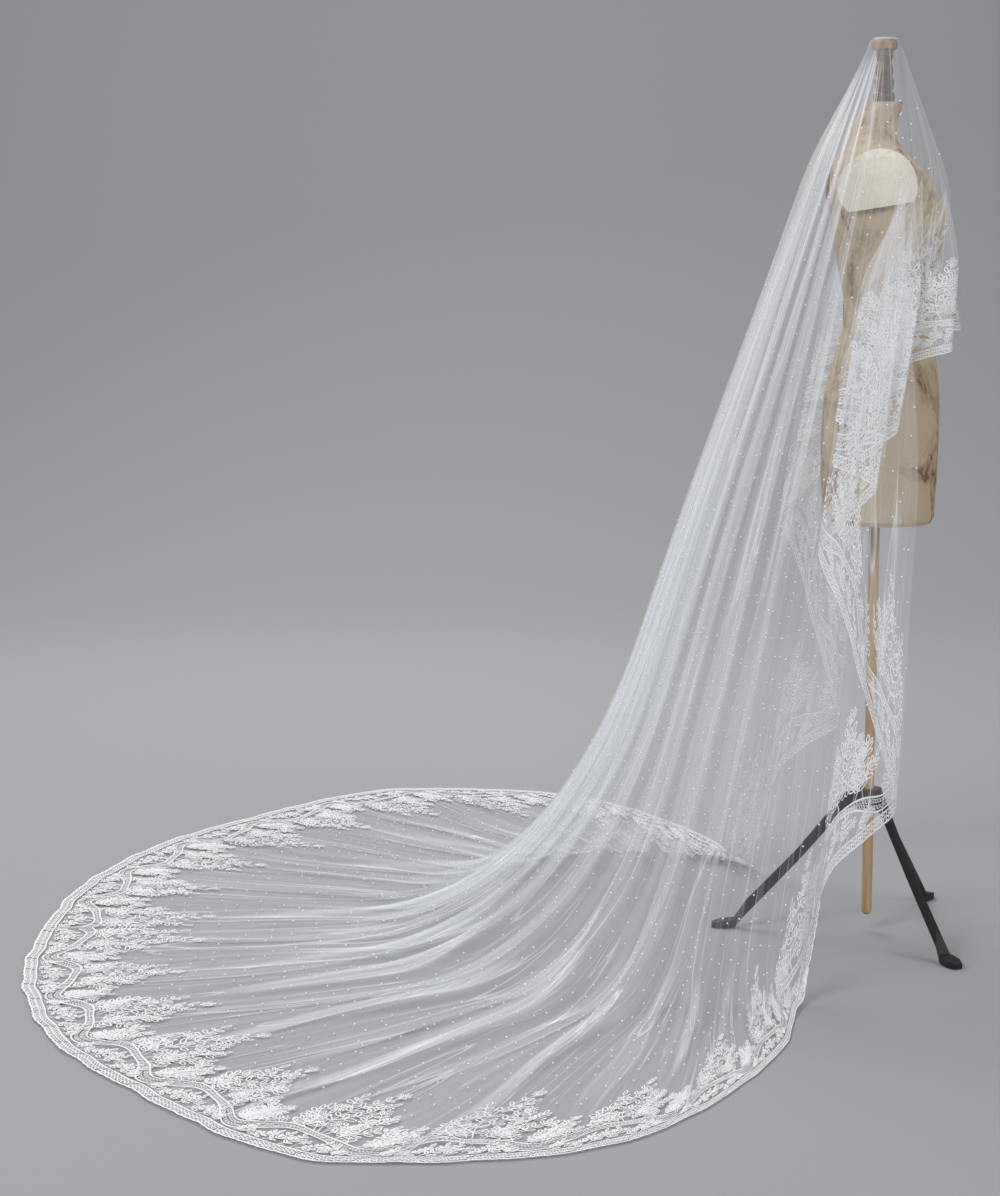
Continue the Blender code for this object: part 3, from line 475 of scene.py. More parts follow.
def small_creases(u, d, side):
    """Height of the small creases between the main folds, along the cloth's own rays."""
    w = fold(u, side)[0]
    one, two, three = legs(w)
    down = smooth(d, 0.05, one + 0.10) * (1.0 - smooth(d, one + two - 0.10, one + two + 0.15))
    hem = one + two + three
    floor = smooth(d, one + two - 0.05, one + two + 0.30) * (1.0 - smooth(d, hem - 0.12, hem))
    turn = 0.7 * side
    fine = (0.55 * np.sin(61.0 * w * math.pi + 1.3 * d + turn)
            + 0.30 * np.sin(97.0 * w * math.pi - 2.1 * d + 2.0 * turn)
            + 0.35 * np.sin(37.0 * w * math.pi + 0.9 * d))
    long = (0.60 * np.sin(53.0 * w * math.pi + 1.9 * np.sin(2.2 * d + 5.0 * w) + turn)
            + 0.50 * np.sin(83.0 * w * math.pi - 1.4 * np.sin(2.9 * d) + 4.0 * w)
            + 0.40 * np.sin(29.0 * w * math.pi + 1.1 * d))
    hung = smooth(u, FIRST_TURN - 1.0, FIRST_TURN + 0.5)
    return FINE_CREASE * fine * down * (1.0 - 0.6 * hung) + FLOOR_CREASE * long * floor * (1.0 - hung)


def floor_ridges(u, d, side):
    """Height of the long ridges on the floor, and how near each point is to one of their edges."""
    u, d = np.broadcast_arrays(np.asarray(u, float), np.asarray(d, float))
    w = fold(u, side)[0]
    one, two, three = legs(w)
    share = (d - one - two) / np.maximum(three, 0.05)
    total = ray_length(u, side)
    hem = np.interp(u, *HEMS[side])
    height = np.zeros(u.shape)
    edge = np.zeros(u.shape)
    for number, (place, start, end, half, high, wander) in enumerate(FLOOR_RIDGES):
        turn = number * 1.7 + (0.9 if side > 0 else 0.0)
        where = place * (1.0 + 0.03 * side) + wander * np.sin(5.0 * share + turn)
        where = where + 0.4 * wander * np.sin(13.0 * share + 2.0 * turn)
        wide = half * (1.0 + 0.25 * np.sin(7.0 * share + turn))
        off = (hem - where) * np.clip(d / np.maximum(total, 0.1), 0.05, 1.0)
        window = smooth(share, start - 0.10, start + 0.12) * (1.0 - smooth(share, end - 0.22, end))
        height += high * window * np.exp(-(off / wide) ** 2)
        edge = np.maximum(edge, window * np.exp(-((np.abs(off) - wide) / 0.006) ** 2))
        edge = np.maximum(edge, 0.45 * window * np.exp(-(off / wide) ** 4))
    return height, edge


def cloth_normal(u, d, side):
    """Direction out of the cloth's face, upward where it lies on the floor."""
    eu = 0.02
    ed = 0.004
    across = veil(np.minimum(u + eu, HALF_FOLDS), d, side) - veil(np.maximum(u - eu, 0.0), d, side)
    along = veil(u, d + ed, side) - veil(u, np.maximum(d - ed, 0.0), side)
    return unit_length(np.cross(across, along) * -float(side), 1e-12)


def lifted(u, d, side, lift):
    """Point of the cloth, moved out of its face by lift and by its small creases."""
    u, d = np.broadcast_arrays(np.asarray(u, float), np.asarray(d, float))
    normal = cloth_normal(u, d, side)
    total = ray_length(u, side)
    hem = np.interp(u, *HEMS[side])
    near_hem = smooth(d, total - HEM_SOFT, total)
    lap = hem * 2.0 * math.pi
    wave = near_hem * (np.sin(lap / HEM_WAVE_LONG) + 0.6 * np.sin(lap / HEM_WAVE_SHORT + 1.0))
    place = veil(u, d, side)
    along = unit_length(place - veil(u, d - 0.01, side))
    raised = small_creases(u, d, side) + floor_ridges(u, d, side)[0]
    raised = raised + HEM_RIPPLE * near_hem * (1.0 + np.sin(lap / HEM_RIPPLE_LENGTH))
    out = place + normal * (raised + lift)[..., None] + along * (HEM_WAVE * wave)[..., None]
    out[..., 2] = np.maximum(out[..., 2], 0.0006 + np.maximum(lift, 0.0))
    return out


def hem_table(side):
    """Length along the hem from the back middle at each place u."""
    us = np.linspace(0.0, HALF_FOLDS, HALF_FOLDS * 40 + 1)
    points = veil(us, ray_length(us, side), side)
    return us, summed(np.linalg.norm(np.diff(points, axis=0), axis=1))


HEMS = {-1: hem_table(-1), 1: hem_table(1)}


def set_attribute(mesh, name, values):
    """A number at each point of the cloth, for its material."""
    layer = mesh.attributes.new(name, "FLOAT", "POINT")
    layer.data.foreach_set("value", np.asarray(values, np.float32).ravel())


def set_uv(mesh, across, along):
    """The cloth's own map: metres along the hem and metres down from the cap."""
    layer = mesh.uv_layers.new(name="cloth")
    corner = np.zeros(len(mesh.loops), np.int32)
    mesh.loops.foreach_get("vertex_index", corner)
    pairs = np.stack([across[corner], along[corner]], -1)
    layer.data.foreach_set("uv", pairs.astype(np.float32).ravel())


def mesh_of(bm, name):
    """A mesh made from a bmesh, which is freed."""
    mesh = bpy.data.meshes.new(name)
    bm.to_mesh(mesh)
    bm.free()
    return mesh


def add_to_scene(bm, name, material, smooth_shade=True):
    """An object made from a bmesh, with its material."""
    mesh = mesh_of(bm, name)
    if smooth_shade:
        mesh.shade_smooth()
    made = bpy.data.objects.new(name, mesh)
    bpy.context.scene.collection.objects.link(made)
    mesh.materials.append(material)
    return made


def finish_piece(name, bm, material, smooth_shade=True):
    """Turns a bmesh into a piece that rides with the form."""
    piece = add_to_scene(bm, name, material, smooth_shade)
    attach(piece, "root")
    return piece


def grid_sheet(columns_count, rows_count):
    """A flat grid, with the column and row of each of its points."""
    bm = bmesh.new()
    bmesh.ops.create_grid(bm, x_segments=columns_count - 1, y_segments=rows_count - 1, size=1.0)
    bm.verts.ensure_lookup_table()
    flat = np.array([v.co[:2] for v in bm.verts])
    column = np.rint((flat[:, 0] + 1.0) * 0.5 * (columns_count - 1)).astype(int)
    row = np.rint((flat[:, 1] + 1.0) * 0.5 * (rows_count - 1)).astype(int)
    return bm, column, row


def flat_cut(runs):
    """Width, length and area of a stretch of net as it was cut, before it was gathered."""
    angle = 0.0
    hem = []
    for side, first, last in runs:
        us = np.linspace(first, last, 801)
        reach = ray_length(us, side)
        arc = np.interp(us, *HEMS[side])
        step = np.sqrt(np.maximum(np.diff(arc) ** 2 - np.diff(reach) ** 2, 0.0))
        step = step / (0.5 * (reach[1:] + reach[:-1]))
        turn = angle + summed(step)
        angle = turn[-1]
        hem += list(zip(reach * np.cos(turn), reach * np.sin(turn)))
    outline = np.array([(0.0, 0.0)] + hem)
    after = np.roll(outline, -1, axis=0)
    area = abs(float((outline[:, 0] * after[:, 1] - outline[:, 1] * after[:, 0]).sum())) * 0.5
    best = None
    for degrees in range(0, 180, 3):
        turn = math.radians(degrees)
        ways = ((math.cos(turn), math.sin(turn)), (-math.sin(turn), math.cos(turn)))
        size = [float(np.ptp(outline @ np.array(way))) for way in ways]
        if best is None or size[0] * size[1] < best[0] * best[1]:
            best = size
    return min(best), max(best), area


def net_sheet(name, runs, material, replaced):
    """A stretch of net over one or more runs of u, given as (side, first, last)."""
    sides = []
    places = []
    for number, (side, first, last) in enumerate(runs):
        count = int(round(abs(last - first) * NET_COLUMNS))
        us = np.linspace(first, last, count + 1)
        if number:
            us = us[1:]
        sides += [side] * len(us)
        places += list(us)
    sides = np.array(sides)
    places = np.array(places)
    share = np.linspace(0.0, 1.0, NET_ROWS)
    points = np.zeros((NET_ROWS, len(places), 3))
    across, along, ridge, crease, width = np.zeros((5, NET_ROWS, len(places)))
    for side in (-1, 1):
        chosen = np.where(sides == side)[0]
        if not len(chosen):
            continue
        us = places[chosen]
        total = ray_length(us, side)
        d = share[:, None] * total[None, :]
        points[:, chosen] = lifted(np.broadcast_to(us, d.shape), d, side, 0.0)
        across[:, chosen] = side * np.interp(us, *HEMS[side])[None, :]
        along[:, chosen] = d
        ridge[:, chosen] = floor_ridges(np.broadcast_to(us, d.shape), d, side)[1]
    step = np.diff(points, axis=1)
    size = np.maximum(np.linalg.norm(step, axis=-1), 1e-9)
    way = step / size[..., None]
    turn = np.arccos(np.clip((way[:, 1:] * way[:, :-1]).sum(-1), -1, 1))
    bend = turn / (0.5 * (size[:, 1:] + size[:, :-1]))
    crease[:, 1:-1] = np.clip(bend / CREASE_BEND, 0.0, 1.0)
    crease[:, 0] = crease[:, 1]
    crease[:, -1] = crease[:, -2]
    width[:, :-1] += size * 0.5
    width[:, 1:] += size * 0.5
    flat_width = np.abs(np.gradient(across, axis=1)) * (along / np.maximum(along[-1:], 1e-6))
    gather = np.clip(flat_width / np.maximum(width, 1e-5) - 1.0, 0.0, 3.0) / 3.0
    bm, column, row = grid_sheet(len(places), NET_ROWS)
    for vert, c, r in zip(bm.verts, column, row):
        vert.co = points[r, c]
    if runs[0][0] * (runs[0][2] - runs[0][1]) > 0.0:
        bmesh.ops.reverse_faces(bm, faces=bm.faces)
    piece = finish_piece(name, bm, material)
    thin = 1.0 - HUNG_THIN * smooth(places, FIRST_TURN - 1.0, FIRST_TURN + 0.5)[None, :]
    for label, values in (("crease", crease * thin), ("gather", gather * thin), ("ridge", ridge)):
        set_attribute(piece.data, label, values[row, column])
    set_uv(piece.data, across[row, column], along[row, column])
    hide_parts(*replaced)
    return piece


def layer_height(x, y):
    """Height of a thread over the net, so that no two threads that cross lie in one plane."""
    return LACE_LAYERS * ((911.0 * x + 577.0 * y) % 1.0)


def way_at(angle):
    """A flat step of length one."""
    return np.array([math.cos(angle), math.sin(angle)])


def heading_of(step):
    return math.atan2(step[1], step[0])


def loop_of_thread(bm, x, y, turn, length, width, thread, sides=8):
    """One closed loop of lace thread: a leaf, a petal or an eyelet."""
    place = Matrix.Translation((x, y, layer_height(x, y))) @ Matrix.Rotation(turn, 4, "Z")
    place = place @ Matrix.Diagonal((length * 0.5, width * 0.5, 1.0, 1.0))
    made = bmesh.ops.create_circle(bm, cap_ends=True, segments=sides, radius=1.0, matrix=place)
    faces = list({f for v in made["verts"] for f in v.link_faces})
    bmesh.ops.inset_individual(bm, faces=faces, thickness=thread, depth=0.0)
    bmesh.ops.delete(bm, geom=faces, context="FACES_ONLY")


def looped_leaf(bm, foot, lean, size, share, thread):
    """A looped leaf that grows from a point of its stem, its width a share of its length."""
    centre = foot + way_at(lean) * size * 0.52
    loop_of_thread(bm, centre[0], centre[1], lean, size, size * share, thread)


def cord_of_thread(bm, points, thread):
    """A flat cord of lace thread along a line of points."""
    points = np.asarray(points, float)
    way = unit_length(np.gradient(points, axis=0))
    across = np.stack([-way[:, 1], way[:, 0]], -1)
    before = len(bm.verts)
    bmesh.ops.create_grid(bm, x_segments=len(points) - 1, y_segments=1, size=1.0)
    bm.verts.ensure_lookup_table()
    for vert in bm.verts[before:]:
        k = int(round((vert.co.x + 1.0) * 0.5 * (len(points) - 1)))
        x, y = points[k] + across[k] * thread * 0.5 * (1.0 if vert.co.y > 0 else -1.0)
        vert.co = (x, y, layer_height(points[0][0], points[0][1]))


def leafy_sprig(bm, start, turn, length, bend, pairs, leaf, rng):
    """A curved stem with pairs of looped leaves and one at its tip."""
    steps = pairs + 2
    points = [np.array(start, float)]
    angle = turn
    for k in range(steps):
        points.append(points[-1] + way_at(angle) * length / steps)
        angle += bend / steps
    cord_of_thread(bm, points, STEM_THREAD)
    for k in range(1, steps):
        heading = heading_of(points[k + 1] - points[k])
        share = 1.0 - 0.35 * k / steps
        for hand in (-1, 1):
            size = leaf * share * rng.uniform(0.85, 1.15)
            looped_leaf(bm, points[k], heading + hand * rng.uniform(0.75, 1.05), size, 0.50, LEAF_THREAD)
    tip = points[-1] + way_at(angle) * leaf * 0.3
    loop_of_thread(bm, tip[0], tip[1], angle, leaf * 0.9, leaf * 0.44, LEAF_THREAD)
    return points


def rosette(bm, x, y, radius, petals, rng):
    """A round flower: looped petals about an eyelet."""
    for k in range(petals):
        turn = 2.0 * math.pi * k / petals + rng.uniform(-0.1, 0.1)
        reach = radius * 0.62
        loop_of_thread(bm, x + math.cos(turn) * reach, y + math.sin(turn) * reach, turn,
                       radius * 0.72, radius * 0.46, FINE_THREAD)
    loop_of_thread(bm, x, y, 0.0, radius * 0.5, radius * 0.5, STEM_THREAD)


def ribbon_line(x):
    """How far in from the hem the honeycomb ribbon runs."""
    return (0.072 + 0.024 * math.sin(2.0 * math.pi * x / UNIT)
            + 0.006 * math.sin(4.0 * math.pi * x / UNIT + 0.8))


def branching_spray(bm, start, turn, length, bend, leaf, rng):
    """A tall spray: a leafy stem with smaller leafy stems to both sides of it."""
    stem = leafy_sprig(bm, start, turn, length, bend, 6, leaf, rng)
    for place, hand, share in ((1, 1, 0.40), (2, -1, 0.46), (4, 1, 0.36), (5, -1, 0.28)):
        heading = heading_of(stem[place + 1] - stem[place]) + hand * rng.uniform(0.70, 0.95)
        leafy_sprig(bm, stem[place], heading, length * share, -hand * 0.6, 2, leaf * 0.90, rng)
    rosette(bm, stem[-1][0], stem[-1][1] + leaf * 0.4, leaf * 0.55, 7, rng)


def scroll(bm, start, turn, length, curl, leaf, rng):
    """A stem that curls round on itself, leafy outside and petalled at its heart."""
    steps = 9
    points = [np.array(start, float)]
    angle = turn
    for k in range(steps):
        points.append(points[-1] + way_at(angle) * length / steps * (1.25 - 0.06 * k))
        angle += curl / steps * (0.5 + 0.11 * k)
    cord_of_thread(bm, points, SCROLL_THREAD)
    outer = -1.0 if curl > 0.0 else 1.0
    for k in range(1, steps + 1):
        heading = heading_of(points[k] - points[k - 1])
        size = leaf * rng.uniform(0.8, 1.2)
        looped_leaf(bm, points[k], heading + outer * rng.uniform(0.55, 1.0), size, 0.54, LEAF_THREAD)
        if k % 2:
            lean = heading - outer * rng.uniform(0.7, 1.1)
            looped_leaf(bm, points[k], lean, size * 0.62, 0.55, FINE_THREAD)
    rosette(bm, points[-1][0], points[-1][1], leaf * 0.62, 7, rng)


def lace_unit(seed, reach, full):
    """One repeat of the border, flat: x runs along the hem and y in from it. A full one is leafier."""
    rng = np.random.default_rng(seed)
    bm = bmesh.new()

    def inside(x):
        """A place just inside the ribbon."""
        return x, ribbon_line(x) + RIBBON_ROOM

    # the hem's ladder of eyelets between two cords
    count = int(round(UNIT / RUNG))
    for k in range(count):
        x = UNIT * (k + 0.5) / count
        loop_of_thread(bm, x, 0.0075, 0.0, 0.0092, 0.0088, 0.0021)
        loop_of_thread(bm, x + UNIT * 0.5 / count, 0.0168, 0.0, 0.0092, 0.0078, 0.0018)
    xs = np.linspace(0.0, UNIT, 45)
    scallop = 0.0022 - 0.0016 * np.abs(np.sin(math.pi * xs / UNIT * count / 2.0))
    for line, thread in ((scallop, 0.0036), (np.full(45, 0.0122), 0.0018), (np.full(45, 0.0218), 0.0026)):
        cord_of_thread(bm, np.stack([xs, line], -1), thread)
    # the honeycomb ribbon
    line = np.array([[x, ribbon_line(x)] for x in np.linspace(0.0, UNIT, 61)])
    way = np.gradient(line, axis=0)
    way /= np.linalg.norm(way, axis=1)[:, None]
    across = np.stack([-way[:, 1], way[:, 0]], -1)
    swell = 0.0095 + 0.0035 * np.sin(2.0 * math.pi * line[:, 0] / UNIT + 2.6)
    for hand in (-1.0, 1.0):
        cord_of_thread(bm, line + across * (hand * swell)[:, None], RIBBON_THREAD)
    length = summed(np.linalg.norm(np.diff(line, axis=0), axis=1))
    cells = int(length[-1] / CELL)
    for k in range(cells):
        for lane in (-1, 1):
            at = length[-1] * (k + (0.5 if lane > 0 else 0.0) + 0.25) / cells
            x, y, nx, ny, room = [np.interp(at, length, row) for row in (*line.T, *across.T, swell)]
            off = lane * 0.42 * room
            loop_of_thread(bm, x + nx * off, y + ny * off, 0.0, 0.0076, 0.0074, CELL_THREAD, sides=6)
    # the large motif of each repeat: a branching spray over a scroll, with smaller sprays beside it
    crest = UNIT * 0.30
    base = inside(crest)[1]
    branching_spray(bm, (crest + 0.004, base), 1.95, reach, -1.1, 0.027, rng)
    branching_spray(bm, inside(crest + 0.046), 1.05, reach * 0.66, 1.2, 0.024, rng)
    scroll(bm, (crest - 0.020, base), 2.50, reach * 0.62, -2.7, 0.022, rng)
    if full:
        branching_spray(bm, inside(crest + 0.128), 1.75, reach * 0.50, -0.9, 0.022, rng)
        scroll(bm, inside(crest + 0.095), 0.70, reach * 0.52, 2.5, 0.021, rng)
    else:
        leafy_sprig(bm, inside(crest + 0.128), 1.75, reach * 0.50, -0.9, 4, 0.022, rng)
    rosette(bm, crest + 0.020, base + 0.030, 0.020, 9, rng)
    rosette(bm, crest + 0.168, ribbon_line(crest + 0.168) + 0.034, 0.015, 8, rng)
    # small sprigs and rosettes between the ribbon and the hem
    count = 8 if full else 6
    for k in range(count):
        x = UNIT * (k + 0.5) / count
        room = ribbon_line(x) - 0.012 - 0.024
        if room < 0.010:
            continue
        leafy_sprig(bm, (x - 0.014, 0.026), 0.55 + 0.25 * (k % 3), min(0.050, room * 1.3), 0.8, 3,
                    0.016, rng)
        if room > 0.022:
            rosette(bm, x + 0.016, 0.026 + room * 0.5, min(0.011, room * 0.45), 6, rng)
    # short leafy sprigs all along the ribbon's inner side
    if full:
        for k in range(9):
            x = UNIT * (k + 0.5) / 9.0
            leafy_sprig(bm, inside(x), 1.15 + 0.45 * (k % 3), rng.uniform(0.045, 0.075),
                        0.9 - 0.9 * (k % 2), 3, 0.020, rng)
    return mesh_of(bm, "lace_unit")


def lace_border(name, runs, units, material, replaced):
    """The border over runs of the hem, given as (side, first u, last u)."""
    bm = bmesh.new()
    spots = []
    for side, first, last in runs:
        us, lengths = HEMS[side]
        low, high = sorted((float(np.interp(first, us, lengths)), float(np.interp(last, us, lengths))))
        count = max(1, int(round(lengths[-1] / UNIT)))
        step = lengths[-1] / count
        for k in range(int(round(low / step)), int(round(high / step))):
            before = len(bm.verts)
            bm.from_mesh(units[k % len(units)])
            spots.append((before, len(bm.verts), side, k * step, step / UNIT))
    bm.verts.ensure_lookup_table()
    flat = np.array([v.co for v in bm.verts])
    out = np.zeros_like(flat)
    for side in (-1, 1):
        rows = [(a, b, start, stretch) for a, b, s, start, stretch in spots if s == side]
        if not rows:
            continue
        chosen = np.concatenate([np.arange(a, b) for a, b, start, stretch in rows])
        along = np.concatenate([start + flat[a:b, 0] * stretch for a, b, start, stretch in rows])
        along = np.clip(along, 0.0, HEMS[side][1][-1])
        u = np.interp(along, HEMS[side][1], HEMS[side][0])
        w = fold(u, side)[0]
        narrow = 1.0 + (LACE_WIDTH_FRONT / LACE_WIDTH * 0.95 - 1.0) * smooth(w, 0.80, 0.94)
        d = ray_length(u, side) - flat[chosen, 1] * narrow
        out[chosen] = lifted(u, d, side, LACE_LIFT + flat[chosen, 2])
    for vert, place in zip(bm.verts, out):
        vert.co = place
    piece = finish_piece(name, bm, material, smooth_shade=False)
    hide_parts(*replaced)
    return piece


def bead_piece(name, side, first, last, material):
    """Small beads in staggered rows over the net between two places u."""
    bm = bmesh.new()
    us, lengths = HEMS[side]
    total = ray_length(us, side)
    spots = []
    row = 0
    d = BEADS_FROM
    while d < total.max() - HEM_WITHOUT_BEADS:
        width = lengths[-1] * d / total[0]
        count = max(4, int(width / (BEAD_STEP * 1.15)))
        for k in range(count):
            share = (k + 0.5 + 0.5 * (row % 2)) / count
            if share >= 1.0:
                continue
            u = float(np.interp(share * lengths[-1], lengths, us))
            if first <= u < last and d < float(np.interp(u, us, total)) - HEM_WITHOUT_BEADS:
                spots.append((u, d))
        d += BEAD_STEP
        row += 1
    if not spots:
        return None
    spots = np.array(spots)
    jitter = np.random.default_rng(11 + side)
    spots[:, 0] = np.clip(spots[:, 0] + jitter.uniform(-0.10, 0.10, len(spots)), first, last)
    spots[:, 1] += jitter.uniform(-0.012, 0.012, len(spots))
    points = lifted(spots[:, 0], spots[:, 1], side, BEAD_RADIUS * 0.7)
    for point in points:
        bmesh.ops.create_icosphere(bm, subdivisions=1, radius=BEAD_RADIUS, matrix=Matrix.Translation(point))
    return finish_piece(name, bm, material)


def new_material(name, colour, rough, metallic=0.0):
    """A plain Principled material."""
    mat = bpy.data.materials.new(name)
    mat.use_nodes = True
    mat.diffuse_color = (*colour, 1.0)
    shader = mat.node_tree.nodes["Principled BSDF"]
    shader.inputs["Base Color"].default_value = (*colour, 1.0)
    shader.inputs["Roughness"].default_value = rough
    shader.inputs["Metallic"].default_value = metallic
    return mat


def new_node(tree, kind, inputs=None, **settings):
    """A node with its settings, and each given input linked from a socket or set to a value."""
    node = tree.nodes.new(kind)
    for label, value in settings.items():
        setattr(node, label, value)
    for label, value in (inputs or {}).items():
        if isinstance(value, bpy.types.NodeSocket):
            tree.links.new(value, node.inputs[label])
        else:
            node.inputs[label].default_value = value
    return node


def worked_out(tree, operation, *inputs, clamp=False):
    """The result of one sum in a material."""
    node = new_node(tree, "ShaderNodeMath", dict(enumerate(inputs)), operation=operation, use_clamp=clamp)
    return node.outputs[0]


def new_group(name, inputs, output):
    """A node group with named inputs, at their usual values, and one output."""
    group = bpy.data.node_groups.new(name, "ShaderNodeTree")
    for label, usual in inputs.items():
        made = group.interface.new_socket(label, in_out="INPUT", socket_type="NodeSocketFloat")
        made.default_value = usual
    group.interface.new_socket(output, in_out="OUTPUT", socket_type="NodeSocketFloat")
    given = new_node(group, "NodeGroupInput").outputs
    return group, given, new_node(group, "NodeGroupOutput").inputs[output]


def fine_line_group():
    """Thin broken lines that run along the cloth's rays, for its smallest creases."""
    group, given, result = new_group(
        "fine_crease_lines", {"Across": 30.0, "Down": 0.9, "Width": 0.02, "Wander": 1.0}, "Lines")
    uv = new_node(group, "ShaderNodeTexCoord").outputs["UV"]
    parts = new_node(group, "ShaderNodeSeparateXYZ", {0: uv}).outputs
    place = new_node(group, "ShaderNodeCombineXYZ", {
        "X": worked_out(group, "MULTIPLY", parts["X"], given["Across"]),
        "Y": worked_out(group, "MULTIPLY", parts["Y"], given["Down"])})
    cloud = new_node(group, "ShaderNodeTexNoise", {
        "Scale": 1.0, "Detail": 1.5, "Vector": place.outputs[0], "Distortion": given["Wander"]})
    centred = worked_out(group, "SUBTRACT", cloud.outputs["Fac"], 0.5)
    edge = new_node(group, "ShaderNodeMapRange", {
        "From Min": 0.0, "To Min": 1.0, "To Max": 0.0,
        "Value": worked_out(group, "ABSOLUTE", centred), "From Max": given["Width"]})
    group.links.new(edge.outputs["Result"], result)
    return group


def net_material():
    """Sheer net: thin where it lies single and flat, fuller where it is creased or gathered."""
    mat = new_material("sheer_net", (0.86, 0.88, 0.92), 0.70)
    tree = mat.node_tree
    shader = tree.nodes["Principled BSDF"]
    shader.inputs["Sheen Weight"].default_value = 0.6
    shader.inputs["Sheen Roughness"].default_value = 0.4
    group = fine_line_group()
    shares = []
    for across, down, width, wander, weight in (
            (12.0, 0.6, 0.011, 0.9, 0.36), (29.0, 1.0, 0.014, 0.7, 0.18), (5.0, 0.5, 0.060, 0.6, 0.08)):
        lines = new_node(tree, "ShaderNodeGroup", {
            "Across": across, "Down": down, "Width": width, "Wander": wander}, node_tree=group)
        shares.append((lines.outputs["Lines"], weight, 0.0 if shares else NET_OPACITY))
    for name, weight in (("crease", 0.42), ("gather", 0.16), ("ridge", 0.30)):
        attribute = new_node(tree, "ShaderNodeAttribute", attribute_name=name)
        shares.append((attribute.outputs["Fac"], weight, 0.0))
    total = None
    for share in shares:
        value = worked_out(tree, "MULTIPLY_ADD", *share)
        total = value if total is None else worked_out(tree, "ADD", total, value, clamp=True)
    tree.links.new(total, shader.inputs["Alpha"])
    return mat


def stain_group():
    """Old stains: soft blotches with darker, vein-like rings, as one mask."""
    group, given, result = new_group("old_stains", {"Scale": 9.0, "Rings": 0.05, "Blotches": 0.5}, "Stain")
    place = new_node(group, "ShaderNodeTexCoord").outputs["Object"]
    clouds = [
        new_node(group, "ShaderNodeTexNoise", {
            "Detail": detail, "Roughness": 0.6, "Distortion": bend, "Vector": place,
            "Scale": worked_out(group, "MULTIPLY", given["Scale"], factor)}).outputs["Fac"]
        for factor, detail, bend in ((1.0, 6.0, 1.3), (1.9, 4.0, 0.8))]
    centred = worked_out(group, "SUBTRACT", clouds[1], 0.47)
    ring = new_node(group, "ShaderNodeMapRange", {
        "To Min": 0.75, "To Max": 0.0, "Value": worked_out(group, "ABSOLUTE", centred),
        "From Max": given["Rings"]}).outputs["Result"]
    blotch = new_node(group, "ShaderNodeMapRange", {
        "From Min": 0.47, "From Max": 0.66, "Value": clouds[0]}).outputs["Result"]
    weighed = worked_out(group, "MULTIPLY", blotch, given["Blotches"])
    mixed = worked_out(group, "MULTIPLY", ring, blotch)
    group.links.new(worked_out(group, "ADD", mixed, weighed, clamp=True), result)
    return group


def stained_cloth(name, group, colour, stain, blotches, scale):
    """Old cloth over padding, with stains and a fine weave."""
    mat = new_material(name, colour, 0.85)
    tree = mat.node_tree
    shader = tree.nodes["Principled BSDF"]
    marks = new_node(tree, "ShaderNodeGroup", {
        "Scale": scale, "Rings": 0.045, "Blotches": blotches}, node_tree=group)
    blend = new_node(tree, "ShaderNodeMix", {
        "A": (*colour, 1.0), "B": (*stain, 1.0), "Factor": marks.outputs["Stain"]}, data_type="RGBA")
    tree.links.new(blend.outputs["Result"], shader.inputs["Base Color"])
    place = new_node(tree, "ShaderNodeTexCoord").outputs["Object"]
    weave = new_node(tree, "ShaderNodeTexNoise", {"Scale": 420.0, "Detail": 2.0, "Vector": place})
    bump = new_node(tree, "ShaderNodeBump", {
        "Strength": 0.25, "Distance": 0.0006, "Height": weave.outputs["Fac"]})
    tree.links.new(bump.outputs["Normal"], shader.inputs["Normal"])
    return mat


def grained_wood(name, colour, dark, scale):
    """Wood with grain along its height."""
    mat = new_material(name, colour, 0.5)
    tree = mat.node_tree
    place = new_node(tree, "ShaderNodeTexCoord").outputs["Object"]
    stretch = new_node(tree, "ShaderNodeMapping", {"Scale": (scale, scale, scale * 0.08), "Vector": place})
    grain = new_node(tree, "ShaderNodeTexNoise", {
        "Scale": 1.0, "Detail": 6.0, "Vector": stretch.outputs["Vector"]})
    ramp = new_node(tree, "ShaderNodeValToRGB", {"Fac": grain.outputs["Fac"]})
    for stop, place, tone in zip(ramp.color_ramp.elements, (0.34, 0.62), (dark, colour)):
        stop.position = place
        stop.color = (*tone, 1.0)
    tree.links.new(ramp.outputs["Color"], tree.nodes["Principled BSDF"].inputs["Base Color"])
    return mat


def dress_frame(nodes):
    """Puts the finishes on the form and its stand."""
    stains = stain_group()
    linen = stained_cloth("aged_linen", stains, (0.56, 0.44, 0.29), (0.19, 0.11, 0.05), 0.62, 9.0)
    arm = stained_cloth("cream_arm_cloth", stains, (0.84, 0.78, 0.66), (0.62, 0.50, 0.34), 0.10, 9.0)
    cap = grained_wood("tan_cap_wood", (0.42, 0.26, 0.15), (0.20, 0.11, 0.06), 60.0)
    neck = grained_wood("dark_neck_wood", (0.13, 0.075, 0.04), (0.010, 0.007, 0.005), 42.0)
    pole = grained_wood("pale_pole_wood", (0.56, 0.38, 0.20), (0.42, 0.26, 0.13), 90.0)
    leg = new_material("black_leg_paint", (0.018, 0.018, 0.020), 0.42, 0.3)
    finishes = {
        "form_body": linen, "neck_cap": cap, "neck_finial": neck,
        "stand_pole": pole, "stand_hub": leg, "stand_leg_1": leg, "stand_leg_2": leg, "stand_leg_3": leg,
    }
    for name, finish in finishes.items():
        nodes[name].data.materials.clear()
        nodes[name].data.materials.append(finish)
    for node in ("arm_cap_near", "arm_cap_far"):
        arm_cap(nodes[node], node, arm)


